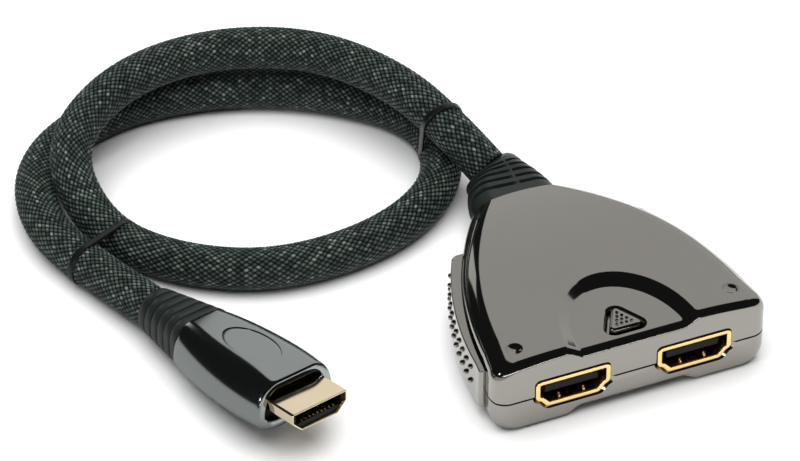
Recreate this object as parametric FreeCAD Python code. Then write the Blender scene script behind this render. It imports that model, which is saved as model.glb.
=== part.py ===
# A two-input video switch box with a captive braided cable and plug, in millimetres.
# Everything is drawn with the port face at y = 0 and the table at z = 0. At the end it is
# moved back so that the origin lies on the table under the middle of the box and its boot.
import FreeCAD, Part
import math
import os

Vector = FreeCAD.Vector
LEFT = -1
RIGHT = 1

# Case: a fan-shaped box in two shells, widest at the port face
case_half_width = 28.8
case_length = 54.5
case_height = 17.0
side_radius = 84.0
rear_bulge = 2.0
rear_top_z = 12.6
rear_bottom_z = 2.8
top_flat_length = 22.0
bottom_flat_length = 26.0
wall = 1.5
edge_round = 4.3
front_round = 1.0
parting_z = 7.6
seam_depth = 0.3
seam_width = 0.25

# Thumb dish in the top, and its twin underneath
dish_floor_half_x = 11.0
dish_floor_y = 16.6
dish_wall_run = 3.0
dish_depth = 1.6
under_dish_depth = 1.5

# Sockets
socket_z = 8.0
socket_half_width = 7.0
socket_half_height = 2.275
socket_corner_x = 5.1
socket_shoulder_x = 6.3
socket_shoulder_z = 0.85
socket_step_z = 0.6
socket_depth = 11.0
socket_wall = 0.4
socket_lip = 0.95
socket_lip_proud = 0.35
socket_lip_depth = 1.25
socket_gap = 0.15
socket_relief = 0.8
insert_gap = 0.05
tongue_half_width = 5.6
tongue_thickness = 1.5
tongue_rise = 0.35
tongue_recess = 0.7
tongue_root = 2.0
contact_pitch = 1.0
contact_width = 0.45
contact_thickness = 0.12
contact_recess = 0.5
upper_contacts = 10
lower_contacts = 9
bump_x = 2.6
bump_radius = 0.55
bump_recess = 1.6
leg_x = 6.0
leg_width = 1.0
leg_thickness = 0.4
leg_length = 1.9
leg_inset = 2.6
leg_gap = 0.2

# Circuit board and what stands on it
board_thickness = 1.2
board_gap = 0.8
board_margin = 4.4
board_z = socket_z - socket_half_height - socket_wall
chip_screw_distance = 9.5
chip_size = 9.0
chip_height = 1.4
chip_pins = 10
chip_pin_width = 0.35
chip_pin_length = 1.0
chip_pin_height = 0.4
component_columns = 4
component_pitch = 3.2
component_length = 1.6
component_width = 0.9
component_height = 0.8
component_socket_distance = 4.5
component_screw_distance = 1.5
component_first_x = 7.0

# Select button, its push switch and their travel
button_y = 4.2
button_half_base = 3.2
button_length = 4.9
button_corner = 1.0
button_proud = 0.5
button_gap = 0.25
button_bevel_width = 0.85
button_bevel_depth = 0.5
button_flange = 0.8
button_flange_thickness = 0.9
button_flange_gap = 0.05
button_travel = 0.7
button_nub_radius = 0.32
button_nub_pitch = 1.25
stem_radius = 2.4
switch_y = 6.5
switch_size = 5.2
switch_height = 3.9
switch_floor = 0.9
switch_chamber_radius = 2.1
switch_chamber_height = 1.8
plunger_radius = 1.4
plunger_gap = 0.05
button_stop_gap = 0.4
plunger_foot_radius = 1.9
plunger_foot_height = 0.5
dome_radius = 1.9
dome_sheet = 0.15

# Port lamps
lamp_inset = 5.6
lamp_socket_gap = 1.2
lamp_y = 5.2
lamp_radius = 1.6
lamp_recess = 0.5
lamp_gap = 0.05
lamp_boss_radius = 2.5
lamp_boss_length = 3.0
led_length = 1.6
led_width = 0.9
led_height = 0.7

# Screws that clamp shell, board and shell
screw_side_inset = 7.8
screw_socket_distance = 9.0
screw_rear_inset = 21.5
screw_radius = 1.0
screw_gap = 0.1
screw_reach = 11.0
screw_head_radius = 1.8
screw_head_height = 1.2
screw_sink = 0.4
boss_radius = 2.5

# Finger grips on the sides
grip_front = 6.0
grip_rear = 41.0
grip_bottom = 3.1
grip_top = 12.1
grip_seat = 0.6
grip_gap = 0.1
grip_front_proud = 1.2
grip_middle_proud = 1.85
grip_rear_proud = 2.05
grip_corner = 0.9
nub_radius = 0.55
nub_proud = 0.1
nub_first_y = 11.6
nub_pitch = 2.71
nub_columns = 11
nub_upper_z = 9.3
nub_lower_z = 5.9

# Cable: a hand-chosen route from the boot round to the plug, with y measured from the case's rear
cable_diameter = 8.7
cable_route = (
    (-0.6, 13.7, 9.0), (-4.8, 22.1, 14.5), (-9.5, 40.5, 15.8), (-20.7, 59.3, 14.9),
    (-41.0, 67.8, 14.7), (-62.8, 63.8, 15.0), (-79.6, 50.3, 12.0), (-79.1, 30.8, 5.2),
    (-68.9, 15.1, 4.5), (-49.8, 4.2, 4.5), (-24.3, 6.4, 4.5), (-6.4, 18.9, 4.8),
    (-3.3, 40.5, 4.8), (-19.4, 58.3, 4.5), (-40.5, 67.8, 4.5), (-64.0, 68.5, 4.5),
    (-83.2, 57.3, 4.6), (-89.5, 36.7, 5.1), (-82.9, 16.5, 4.5), (-78.5, 3.6, 5.7),
)
arc_share = 0.45

# Ties: narrow bands that bite into the soft sleeve, placed as the cable's route is
tie_thickness = 0.6
tie_width = 1.5
tie_bite = 0.3
first_tie_upper = (-5.8, 26.9, 14.5)
first_tie_lower = (-4.9, 29.2, 4.95)
first_tie_along = (-0.1, 0.98, 0.12)
second_tie_inner = (-76.0, 25.8, 5.0)
second_tie_outer = (-84.9, 22.4, 4.75)
second_tie_along = (0.39, -0.92, -0.03)

# Boot on the box: a flat oval at the case that becomes round at the cable
boot_half_width = 10.0
boot_half_height = 4.8
boot_corner = 4.2
boot_end_radius = 5.9
boot_axis_z = 7.7
boot_bend_pull = 5.0
boot_plain_length = 1.6
boot_blend_length = 11.0
boot_groove_count = 5
boot_groove_first = 2.5
boot_groove_pitch = 2.0
boot_groove_width = 0.9
boot_groove_depth = 0.8
boot_spine_x = 1.7
boot_spine_width = 1.1
boot_root = 2.5
boot_stations = 12
neck_half_width = 7.0
neck_half_height = 3.9
neck_corner = 3.4
neck_gap = 0.1
flange_inset = 3.7
flange_thickness = 1.8
flange_half_width = 8.0
flange_half_height = 3.95
flange_corner = 3.4

# Cable end inside the box
tail_radius = 3.4
tail_gap = 0.05
tail_inset = 11.0
ferrule_setback = 0.7
ferrule_length = 3.6
ferrule_wall = 0.45
wire_radius = 0.5
wire_spread = 1.2
wire_fan = 1.9
wire_count = 5
wire_reach = 5.9

# Plug, measured from its tip towards the cable
plug_length = 51.5
plug_roll = 5.0
plug_half_width = 6.95
plug_half_height = 2.225
plug_corner_x = 4.6
plug_wall = 0.35
plug_shell_length = 12.0
plug_slot_half_width = 5.8
plug_slot_height = 2.1
plug_slot_depth = 8.0
plug_insulator_recess = 0.5
cover_front = 7.1
cover_rear = 36.5
cover_wall = 1.3
cover_stations = (
    (7.1, 8.3, 5.3, 4.0), (10.0, 9.2, 5.8, 4.1), (18.0, 9.9, 6.0, 4.2),
    (27.0, 9.1, 5.8, 3.8), (36.5, 7.0, 5.0, 3.4),
)
cover_gap = 0.1
badge_y = 20.0
badge_half_length = 7.5
badge_half_width = 4.0
badge_sink = 0.3
badge_gap = 0.1
core_rear = 33.0
plug_boot_root = 2.5
plug_boot_front_half_width = 6.7
plug_boot_front_half_height = 4.7
plug_boot_rear_radius = 4.75
plug_boot_corner = 3.4
plug_boot_rings = 6
plug_boot_step = 0.55
plug_tail_front = 27.0
plug_neck_radius = 4.2

# Small measure used where a loft needs four short straight sides, and to overshoot a cut
sliver = 0.05
overshoot = 1.0

# Sizes that follow from the ones above
top_arc_radius = ((case_length - top_flat_length) ** 2 + (case_height - rear_top_z) ** 2) \
    / (2 * (case_height - rear_top_z))
bottom_arc_radius = ((case_length - bottom_flat_length) ** 2 + rear_bottom_z ** 2) / (2 * rear_bottom_z)
rear_wall = Vector(0, case_length, 0)
route = [rear_wall + Vector(*point) for point in cable_route]
leave = (route[1] - route[0]).normalize()
arrive = (route[-1] - route[-2]).normalize()
dish_floor_z = case_height - dish_depth
button_top = dish_floor_z + button_proud
flange_top = dish_floor_z - wall - button_flange_gap
switch_top = board_z + switch_height
chamber_top = board_z + switch_floor + switch_chamber_height
stem_bottom = switch_top + button_travel + button_stop_gap
tongue_z = socket_z + tongue_rise
lamp_x = case_half_width - lamp_inset
socket_x = lamp_x - lamp_radius - lamp_socket_gap - socket_wall - socket_half_width
flange_rear = case_length - flange_inset
tail_front = case_length - tail_inset
ferrule_front = tail_front + ferrule_setback
wire_landing = tail_front - wire_reach
board_rear = wire_landing + board_margin
screw_front_y = socket_depth + screw_socket_distance
screw_rear_y = case_length - screw_rear_inset
screw_side_x = case_half_width - screw_side_inset
screw_places = ((-screw_side_x, screw_front_y), (screw_side_x, screw_front_y), (0.0, screw_rear_y))
chip_y = screw_rear_y - chip_screw_distance
component_row_y = (socket_depth + component_socket_distance, screw_rear_y - component_screw_distance)
housing_rear = route[0].y + boot_end_radius * math.sqrt(1 - leave.y ** 2)
origin_shift = Vector(0, -(housing_rear - socket_lip_proud) / 2, 0)


# Plain solids
def block(x0, x1, y0, y1, z0, z1):
    return Part.makeBox(x1 - x0, y1 - y0, z1 - z0, Vector(x0, y0, z0))


def post(x, y, z0, z1, radius):
    return Part.makeCylinder(radius, z1 - z0, Vector(x, y, z0))


def mirrored(shape):
    return shape.mirror(Vector(0, 0, 0), Vector(1, 0, 0))


# A polygon, counter-clockwise, grown by a radius: outer corners turn round, inner ones stay sharp
def rounded_wire(core, radius, place):
    count = len(core)
    normals = []
    for i in range(count):
        run_a = core[(i + 1) % count][0] - core[i][0]
        run_b = core[(i + 1) % count][1] - core[i][1]
        length = math.hypot(run_a, run_b)
        normals.append((run_b / length, -run_a / length))
    corners = []
    for i in range(count):
        before = normals[i - 1]
        after = normals[i]
        total = (before[0] + after[0], before[1] + after[1])
        size = math.hypot(*total)
        outer = before[0] * after[1] - before[1] * after[0] > 0
        mitre = radius if outer else 2 * radius / size
        tip = (core[i][0] + total[0] / size * mitre, core[i][1] + total[1] / size * mitre)
        enter = (core[i][0] + before[0] * radius, core[i][1] + before[1] * radius) if outer else tip
        leave = (core[i][0] + after[0] * radius, core[i][1] + after[1] * radius) if outer else tip
        corners.append((enter, tip, leave, outer))
    edges = []
    for i in range(count):
        enter, tip, leave, outer = corners[i]
        if outer:
            edges.append(Part.Arc(place(*enter), place(*tip), place(*leave)).toShape())
        edges.append(Part.LineSegment(place(*leave), place(*corners[(i + 1) % count][0])).toShape())
    return Part.Wire(edges)


# A rounded rectangle across an axis: right and up span its plane
def oval_wire(centre, right, up, half_width, half_height, corner):
    a = half_width - corner
    b = half_height - corner
    core = ((-a, -b), (a, -b), (a, b), (-a, b))
    return rounded_wire(core, corner, lambda p, q: centre + right * p + up * q)


def loft(wires):
    return Part.makeLoft(wires, True, True)


# How far out the case's arched side is at a distance behind the port face, less an inset
def side_x(y, inset):
    return case_half_width - side_radius + math.sqrt((side_radius - inset) ** 2 - y ** 2)


# The fan-shaped plan of the case, drawn in from the outside by an inset, as a tall block
def plan_block(inset):
    corner_y = case_length - rear_bulge - inset
    right = [Vector(side_x(y, inset), y, 0) for y in (inset, corner_y / 2, corner_y)]
    left = [Vector(-p.x, p.y, 0) for p in right]
    edges = [
        Part.Arc(right[0], right[1], right[2]).toShape(),
        Part.Arc(right[2], Vector(0, case_length - inset, 0), left[2]).toShape(),
        Part.Arc(left[2], left[1], left[0]).toShape(),
        Part.LineSegment(left[0], right[0]).toShape(),
    ]
    return Part.Face(Part.Wire(edges)).extrude(Vector(0, 0, case_height))


# The side view of the case as a block across its whole width
def profile_block(inset):
    reach = case_length + overshoot
    x = -case_half_width - overshoot

    def top_point(y):
        drop = math.sqrt((top_arc_radius - inset) ** 2 - (y - top_flat_length) ** 2)
        return Vector(x, y, case_height - top_arc_radius + drop)

    def bottom_point(y):
        rise = math.sqrt((bottom_arc_radius - inset) ** 2 - (y - bottom_flat_length) ** 2)
        return Vector(x, y, bottom_arc_radius - rise)

    top_middle = (top_flat_length + reach) / 2
    bottom_middle = (bottom_flat_length + reach) / 2
    front_low = Vector(x, inset, inset)
    front_high = Vector(x, inset, case_height - inset)
    low_start = bottom_point(bottom_flat_length)
    high_end = top_point(top_flat_length)
    edges = [
        Part.LineSegment(front_low, low_start).toShape(),
        Part.Arc(low_start, bottom_point(bottom_middle), bottom_point(reach)).toShape(),
        Part.LineSegment(bottom_point(reach), top_point(reach)).toShape(),
        Part.Arc(top_point(reach), top_point(top_middle), high_end).toShape(),
        Part.LineSegment(high_end, front_high).toShape(),
        Part.LineSegment(front_high, front_low).toShape(),
    ]
    return Part.Face(Part.Wire(edges)).extrude(Vector(-2 * x, 0, 0))


# The case as one solid with its long edges rounded
def case_body(inset):
    body = plan_block(inset).common(profile_block(inset))
    long_edges = [edge for edge in body.Edges if edge.BoundBox.YLength > edge_round]
    body = body.makeFillet(edge_round - inset, long_edges)
    if inset > 0:
        return body
    front_edges = [edge for edge in body.Edges if edge.BoundBox.YMax < sliver]
    return body.makeFillet(front_round, front_edges)


# An elliptical dish with sloped walls, open past the port face; grow adds the shell round it
def dish(rim_z, into, depth, grow):
    def ring(level):
        spread = dish_wall_run * (1 - level / depth) + grow
        z = rim_z + into * level
        long_end = Vector(0, dish_floor_y + spread, z)
        short_end = Vector(dish_floor_half_x + spread, 0, z)
        return Part.Wire(Part.Ellipse(long_end, short_end, Vector(0, 0, z)).toShape())

    hollow = loft([ring(-overshoot), ring(depth)])
    if grow == 0:
        return hollow
    return hollow.fuse(Part.Face(ring(depth)).extrude(Vector(0, 0, into * grow)))


def top_dish(grow):
    return dish(case_height, -1, dish_depth, grow)


def under_dish(grow):
    return dish(0, 1, under_dish_depth, grow)


# The outline of a socket's mouth, in x and z, and a solid of it between two depths
def socket_wire(side, y, grow):
    core = (
        (-socket_half_width, socket_half_height), (-socket_half_width, -socket_step_z),
        (-socket_shoulder_x, -socket_shoulder_z), (-socket_corner_x, -socket_half_height),
        (socket_corner_x, -socket_half_height), (socket_shoulder_x, -socket_shoulder_z),
        (socket_half_width, -socket_step_z), (socket_half_width, socket_half_height),
    )

    def place(a, b):
        return Vector(side * socket_x + a, y, socket_z + b)

    if grow > 0:
        return rounded_wire(core, grow, place)
    narrow = 1 + grow / socket_half_width
    flat = 1 + grow / socket_half_height
    return Part.makePolygon([place(a * narrow, b * flat) for a, b in core + core[:1]])


def socket_solid(side, y0, y1, grow):
    return Part.Face(socket_wire(side, y0, grow)).extrude(Vector(0, y1 - y0, 0))


# The button's rounded triangle at a height, grown by a clearance or a flange
def button_wire(z, grow):
    core = (
        (-button_half_base, button_y), (button_half_base, button_y), (0, button_y + button_length),
    )
    return rounded_wire(core, button_corner + grow, lambda a, b: Vector(a, b, z))


def button_solid(z0, z1, grow):
    return Part.Face(button_wire(z0, grow)).extrude(Vector(0, 0, z1 - z0))


# A finger grip's body on the right side; grow makes the pocket that it seats in
def grip_blank(grow):
    z = grip_bottom - grow
    front = grip_front - grow
    rear = grip_rear + grow
    stations = (front, (front + rear) / 2, rear)
    inner = [Vector(side_x(y, grip_seat + grow), y, z) for y in stations]
    proud = (grip_front_proud + grow, grip_middle_proud + grow, grip_rear_proud + grow)
    outer = [Vector(side_x(y, -out), y, z) for y, out in zip(stations, proud)]
    edges = [
        Part.Arc(inner[0], inner[1], inner[2]).toShape(),
        Part.LineSegment(inner[2], outer[2]).toShape(),
        Part.Arc(outer[2], outer[1], outer[0]).toShape(),
        Part.LineSegment(outer[0], inner[0]).toShape(),
    ]
    height = grip_top - grip_bottom + 2 * grow
    return Part.Face(Part.Wire(edges)).extrude(Vector(0, 0, height)), outer


def side_grip():
    blank, outer = grip_blank(0)
    ends = (outer[0], outer[2])
    corners = [edge for edge in blank.Edges if min(
        math.hypot(edge.CenterOfMass.x - end.x, edge.CenterOfMass.y - end.y) for end in ends) < sliver]
    grip = blank.makeFillet(grip_corner, corners)
    arc = Part.Arc(outer[0], outer[1], outer[2]).toShape()
    centre = arc.Curve.Center
    radius = arc.Curve.Radius + nub_proud
    balls = []
    for column in range(nub_columns):
        y = nub_first_y + column * nub_pitch
        x = centre.x + math.sqrt(radius ** 2 - (y - centre.y) ** 2)
        for z in (nub_upper_z, nub_lower_z):
            outward = Vector(x - centre.x, y - centre.y, 0)
            balls.append(Part.makeSphere(nub_radius, Vector(x, y, z), outward))
    return grip.multiFuse(balls)


# The boot's axis: straight out of the case, then bending to meet the cable
def boot_axis(share):
    seam = Vector(0, case_length, boot_axis_z)
    away = seam + Vector(0, boot_bend_pull, 0)
    near = route[0] - leave * boot_bend_pull
    left = 1 - share
    point = seam * left ** 3 + away * (3 * left ** 2 * share)
    point = point + near * (3 * left * share ** 2) + route[0] * share ** 3
    along = (away - seam) * left ** 2 + (near - away) * (2 * left * share) + (route[0] - near) * share ** 2
    return point, along.normalize()


def boot_frame(distance):
    length = route[0].y - case_length
    if distance < 0:
        return Vector(0, case_length + distance, boot_axis_z), Vector(0, 1, 0)
    return boot_axis(min(distance / length, 1))


def boot_section(distance, sink):
    share = (distance - boot_plain_length) / (boot_blend_length - boot_plain_length)
    share = max(0, min(share, 1))
    blend = share * share * (3 - 2 * share)
    half_width = boot_half_width + (boot_end_radius - boot_half_width) * blend - sink
    half_height = boot_half_height + (boot_end_radius - boot_half_height) * blend - sink
    corner = min(boot_corner + (boot_end_radius - boot_corner) * blend, half_height + sink) - sink - sliver
    point, along = boot_frame(distance)
    right = along.cross(Vector(0, 0, 1)).normalize()
    return oval_wire(point, right, right.cross(along), half_width, half_height, corner)


def boot_circle(distance, radius):
    point, along = boot_frame(distance)
    return Part.Wire(Part.makeCircle(radius, point, along))


# A round core along the boot's axis, from inside the case to the boot's end
def tail_solid(front, radius):
    length = route[0].y - case_length
    steps = [front - case_length, 0]
    steps += [length * k / boot_stations for k in range(1, boot_stations + 1)]
    return loft([boot_circle(distance, radius) for distance in steps])


# A round tube: straight runs joined by tangent arcs, each as large as its two runs allow
def tube(points, radius, share):
    edges = []
    last = points[0]
    radii = []
    for before, corner, after in zip(points, points[1:], points[2:]):
        first = corner - before
        second = after - corner
        reach = share * min(first.Length, second.Length)
        first.normalize()
        second.normalize()
        turn = first.getAngle(second)
        enter = corner - first * reach
        leave_point = corner + second * reach
        bend = reach / math.tan(turn / 2)
        inward = (second - first).normalize()
        to_centre = math.hypot(bend, reach)
        middle = corner + inward * (to_centre - bend)
        edges.append(Part.LineSegment(last, enter).toShape())
        edges.append(Part.Arc(enter, middle, leave_point).toShape())
        radii.append(bend)
        last = leave_point
    edges.append(Part.LineSegment(last, points[-1]).toShape())
    path = Part.Wire(edges)
    start = (points[1] - points[0]).normalize()
    ring = Part.Wire(Part.makeCircle(radius, points[0], start))
    return path.makePipeShell([ring], True, False), path.Length, radii


# A tie round two strands: a thin band in the plane across them
def tie(one, other, along):
    normal = Vector(*along).normalize()
    first = rear_wall + Vector(*one)
    across = rear_wall + Vector(*other) - first
    across = across - normal * across.dot(normal)
    second = first + across
    across.normalize()
    side = normal.cross(across)
    middle = (first + second) * 0.5
    half = (second - first).Length / 2
    inner = cable_diameter / 2 - tie_bite
    start = middle - normal * (tie_width / 2)

    def band(radius):
        core = ((-half, -sliver), (half, -sliver), (half, sliver), (-half, sliver))
        wire = rounded_wire(core, radius, lambda a, b: start + across * a + side * b)
        return Part.Face(wire).extrude(normal * tie_width)

    return band(inner + tie_thickness).cut(band(inner))


# Case shells, held face to face at the parting plane by three screws
def shells():
    outside = case_body(0)
    hollow = case_body(wall).cut(top_dish(wall)).cut(under_dish(wall))
    skin = outside.cut(hollow).cut(top_dish(0)).cut(under_dish(0))
    span = case_half_width + overshoot
    upper_half = block(-span, span, -overshoot, case_length + overshoot, parting_z, case_height + overshoot)
    lower_half = block(-span, span, -overshoot, case_length + overshoot, -overshoot, parting_z)
    upper = skin.common(upper_half)
    lower = skin.common(lower_half)
    boss_high = case_height - wall + overshoot / 2
    head_high = screw_sink + screw_head_height
    for x, y in screw_places:
        upper = upper.fuse(post(x, y, board_z, boss_high, boss_radius))
        upper = upper.cut(post(x, y, board_z - overshoot, screw_reach + screw_gap, screw_radius + screw_gap))
        lower = lower.fuse(post(x, y, screw_sink, board_z - board_thickness, boss_radius))
        lower = lower.cut(post(x, y, -overshoot, head_high, screw_head_radius + screw_gap))
        lower = lower.cut(post(x, y, 0, board_z, screw_radius + screw_gap))
    boss_low = case_height - wall - lamp_boss_length
    for side in (LEFT, RIGHT):
        x = side * lamp_x
        upper = upper.fuse(post(x, lamp_y, boss_low, boss_high, lamp_boss_radius))
        bore = post(x, lamp_y, boss_low - overshoot, case_height + overshoot, lamp_radius + lamp_gap)
        upper = upper.cut(bore)
        mouth = socket_solid(side, -overshoot, wall + overshoot, socket_lip + socket_gap)
        upper = upper.cut(mouth)
        lower = lower.cut(mouth)
        relief = loft([socket_wire(side, 0, socket_lip + socket_gap + socket_relief),
                       socket_wire(side, socket_relief, socket_lip + socket_gap)])
        lower = lower.cut(relief)
        pocket = grip_blank(grip_gap)[0]
        if side == LEFT:
            pocket = mirrored(pocket)
        upper = upper.cut(pocket)
        lower = lower.cut(pocket)
    upper = upper.cut(button_solid(dish_floor_z - wall - overshoot, case_height, button_gap))
    bevel = loft([button_wire(dish_floor_z - button_bevel_depth, button_gap),
                  button_wire(dish_floor_z, button_gap + button_bevel_width)])
    upper = upper.cut(bevel)
    neck = neck_solid(flange_rear - overshoot, case_length + overshoot, neck_gap)
    seam = outside.cut(case_body(seam_depth)).common(
        block(-span, span, -overshoot, case_length + overshoot, parting_z - seam_width, parting_z))
    return upper.cut(neck), lower.cut(neck).cut(seam)


def neck_solid(front, rear, grow):
    wire = oval_wire(Vector(0, front, boot_axis_z), Vector(1, 0, 0), Vector(0, 0, 1),
                     neck_half_width + grow, neck_half_height + grow, neck_corner + grow)
    return Part.Face(wire).extrude(Vector(0, rear - front, 0))


# Circuit board, with holes for the screws and for the sockets' legs
def circuit_board():
    span = case_half_width
    board = plan_block(wall + board_gap).common(
        block(-span, span, 0, board_rear, board_z - board_thickness, board_z))
    for x, y in screw_places:
        board = board.cut(post(x, y, 0, case_height, screw_radius + screw_gap))
    half_width = leg_thickness / 2 + leg_gap
    half_length = leg_width / 2 + leg_gap
    for x, y in leg_places():
        slot = block(x - half_width, x + half_width, y - half_length, y + half_length, 0, case_height)
        board = board.cut(slot)
    return board


def leg_places():
    places = []
    for side in (LEFT, RIGHT):
        for offset in (-leg_x, leg_x):
            for y in (leg_inset, socket_depth - leg_inset):
                places.append((side * socket_x + offset, y))
    return places


# Socket: a metal shell with a lip, a plastic tongue inside it and contacts on the tongue
def socket_shell(side):
    shell = socket_solid(side, -socket_lip_proud, socket_lip_depth, socket_lip)
    shell = shell.fuse(socket_solid(side, socket_lip_depth - sliver, socket_depth, socket_wall))
    shell = shell.cut(socket_solid(side, -overshoot, socket_depth - socket_wall, 0))
    for offset in (-bump_x, bump_x):
        low = socket_z - socket_half_height
        bump = Part.makeSphere(bump_radius, Vector(side * socket_x + offset, bump_recess, low))
        room = block(-case_half_width, case_half_width, 0, socket_depth, low - socket_wall, socket_z)
        shell = shell.fuse(bump.common(room))
    for x, y in leg_places():
        if x * side > 0:
            half = leg_thickness / 2
            foot = block(x - half, x + half, y - leg_width / 2, y + leg_width / 2,
                         board_z - leg_length, board_z + socket_wall / 2)
            foot = foot if abs(x - side * socket_x) < socket_corner_x else foot.fuse(leg_bracket(side, x, y))
            shell = shell.fuse(foot)
    return shell


# A short upright that carries a leg up to the socket's sloping lower corner
def leg_bracket(side, x, y):
    half = leg_thickness / 2
    high = socket_z - socket_step_z
    riser = block(x - half, x + half, y - leg_width / 2, y + leg_width / 2, board_z, high)
    return riser.cut(socket_solid(side, 0, socket_depth, socket_wall / 2))


def socket_tongue(side):
    x = side * socket_x
    half = tongue_thickness / 2
    rear = socket_depth - socket_wall
    blade = block(x - tongue_half_width, x + tongue_half_width, tongue_recess, rear,
                  tongue_z - half, tongue_z + half)
    return blade.fuse(socket_solid(side, rear - tongue_root, rear, -insert_gap))


def contact_strips(count, z, front, rear, centre_x):
    strips = []
    for i in range(count):
        x = centre_x + (i - (count - 1) / 2) * contact_pitch
        half = contact_width / 2
        strips.append(block(x - half, x + half, front, rear, z, z + contact_thickness))
    return strips


def socket_contacts(side):
    front = tongue_recess + contact_recess
    rear = socket_depth - socket_wall - tongue_root
    half = tongue_thickness / 2
    x = side * socket_x
    strips = contact_strips(upper_contacts, tongue_z + half, front, rear, x)
    strips += contact_strips(lower_contacts, tongue_z - half - contact_thickness, front, rear, x)
    return Part.makeCompound(strips)


# Lamps behind the sockets and the light pipes above them
def light_pipe(side):
    low = board_z + led_height + lamp_gap
    return post(side * lamp_x, lamp_y, low, case_height - lamp_recess, lamp_radius)


# A small part on the board, centred on a point
def chip_block(x, y, length, width, height):
    return block(x - length / 2, x + length / 2, y - width / 2, y + width / 2, board_z, board_z + height)


def port_leds():
    leds = [chip_block(side * lamp_x, lamp_y, led_length, led_width, led_height) for side in (LEFT, RIGHT)]
    return Part.makeCompound(leds)


# The switching chip with its rows of pins, and the small parts round it
def switch_chip():
    half = chip_size / 2
    chip = block(-half, half, chip_y - half, chip_y + half, board_z, board_z + chip_height)
    pins = []
    for i in range(chip_pins):
        place = (i - (chip_pins - 1) / 2) * chip_size / (chip_pins + 1)
        low = place - chip_pin_width / 2
        high = place + chip_pin_width / 2
        reach = half + chip_pin_length
        top = board_z + chip_pin_height
        pins.append(block(-reach, reach, chip_y + low, chip_y + high, board_z, top))
        pins.append(block(low, high, chip_y - reach, chip_y + reach, board_z, top))
    return chip.multiFuse(pins)


def board_components():
    pieces = []
    clear = boss_radius + component_length
    for y in component_row_y:
        edge_x = side_x(y + component_width, wall + board_gap) - component_length / 2
        for column in range(component_columns):
            x = component_first_x + column * component_pitch
            near_screw = any(math.hypot(x - abs(sx), y - sy) < clear for sx, sy in screw_places)
            if near_screw or x > edge_x:
                continue
            for side in (LEFT, RIGHT):
                pieces.append(chip_block(side * x, y, component_length, component_width, component_height))
    return Part.makeCompound(pieces)


# Push switch: body with a chamber and a bore, a snap dome in it and a plunger with a foot
def push_switch_body():
    half = switch_size / 2
    body = block(-half, half, switch_y - half, switch_y + half, board_z, switch_top)
    body = body.cut(post(0, switch_y, board_z + switch_floor, chamber_top, switch_chamber_radius))
    bore_radius = plunger_radius + plunger_gap
    return body.cut(post(0, switch_y, chamber_top - sliver, switch_top + overshoot, bore_radius))


def switch_plunger():
    foot_top = chamber_top - plunger_gap
    foot = post(0, switch_y, foot_top - plunger_foot_height, foot_top, plunger_foot_radius)
    return foot.fuse(post(0, switch_y, chamber_top - plunger_foot_height, stem_bottom, plunger_radius))


def switch_dome():
    low = board_z + switch_floor
    rise = switch_chamber_height - plunger_foot_height - 2 * plunger_gap
    radius = (dome_radius ** 2 + rise ** 2) / (2 * rise)
    centre = Vector(0, switch_y, low + rise - radius)
    sheet = Part.makeSphere(radius, centre).cut(Part.makeSphere(radius - dome_sheet, centre))
    return sheet.common(post(0, switch_y, low, low + 2 * rise, dome_radius))


# Select button: a triangular cap with a flange under the shell and a stem on the plunger
def select_button():
    cap = button_solid(flange_top - button_flange_thickness / 2, button_top, 0)
    top_edges = [edge for edge in cap.Edges if edge.BoundBox.ZMin > button_top - sliver]
    cap = cap.makeFillet(button_gap, top_edges)
    flange = button_solid(flange_top - button_flange_thickness, flange_top, button_flange)
    stem = post(0, switch_y, stem_bottom, flange_top - button_flange_thickness / 2, stem_radius)
    button = cap.fuse(flange).fuse(stem)
    nubs = []
    for row in range(4):
        for i in range(row + 1):
            x = (i - row / 2) * button_nub_pitch
            y = button_y + button_length - button_corner / 2 - row * button_nub_pitch
            nubs.append(Part.makeSphere(button_nub_radius, Vector(x, y, button_top)))
    return button.multiFuse(nubs)


# Screws from below, with plain heads
def case_screws():
    screws = []
    for x, y in screw_places:
        head = post(x, y, screw_sink, screw_sink + screw_head_height, screw_head_radius)
        shank = post(x, y, screw_sink + screw_head_height / 2, screw_reach, screw_radius)
        screws.append(head.fuse(shank))
    return Part.makeCompound(screws)


# Rubber boot: ribbed outside the case, with a neck and a flange that hold it in the rear wall
def housing_boot():
    length = route[0].y - case_length
    smooth = [-boot_root, boot_plain_length]
    stations = [(distance, 0) for distance in smooth]
    half = boot_groove_width / 2
    for index in range(boot_groove_count):
        centre = boot_groove_first + index * boot_groove_pitch
        stations += [(centre - half - sliver, 0), (centre - half, boot_groove_depth)]
        stations += [(centre + half, boot_groove_depth), (centre + half + sliver, 0)]
        smooth.append(centre)
    stations.append((length, 0))
    smooth.append(length)
    ribbed = loft([boot_section(distance, sink) for distance, sink in stations])
    full = loft([boot_section(distance, 0) for distance in smooth])
    half = boot_spine_width / 2
    spine_rear = case_length + length - boot_plain_length
    spine = full.common(block(boot_spine_x - half, boot_spine_x + half, case_length, spine_rear,
                              boot_axis_z + boot_half_height / 2, case_height))
    outside = ribbed.fuse(spine).cut(case_body(0))
    neck = neck_solid(flange_rear - flange_thickness / 2, case_length, 0)
    front = flange_rear - flange_thickness
    flange_wire = oval_wire(Vector(0, front, boot_axis_z), Vector(1, 0, 0), Vector(0, 0, 1),
                            flange_half_width, flange_half_height, flange_corner)
    flange = Part.Face(flange_wire).extrude(Vector(0, flange_thickness, 0))
    boot = outside.fuse(neck).fuse(flange)
    return boot.cut(tail_solid(flange_rear - 2 * flange_thickness, tail_radius + tail_gap))


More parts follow.
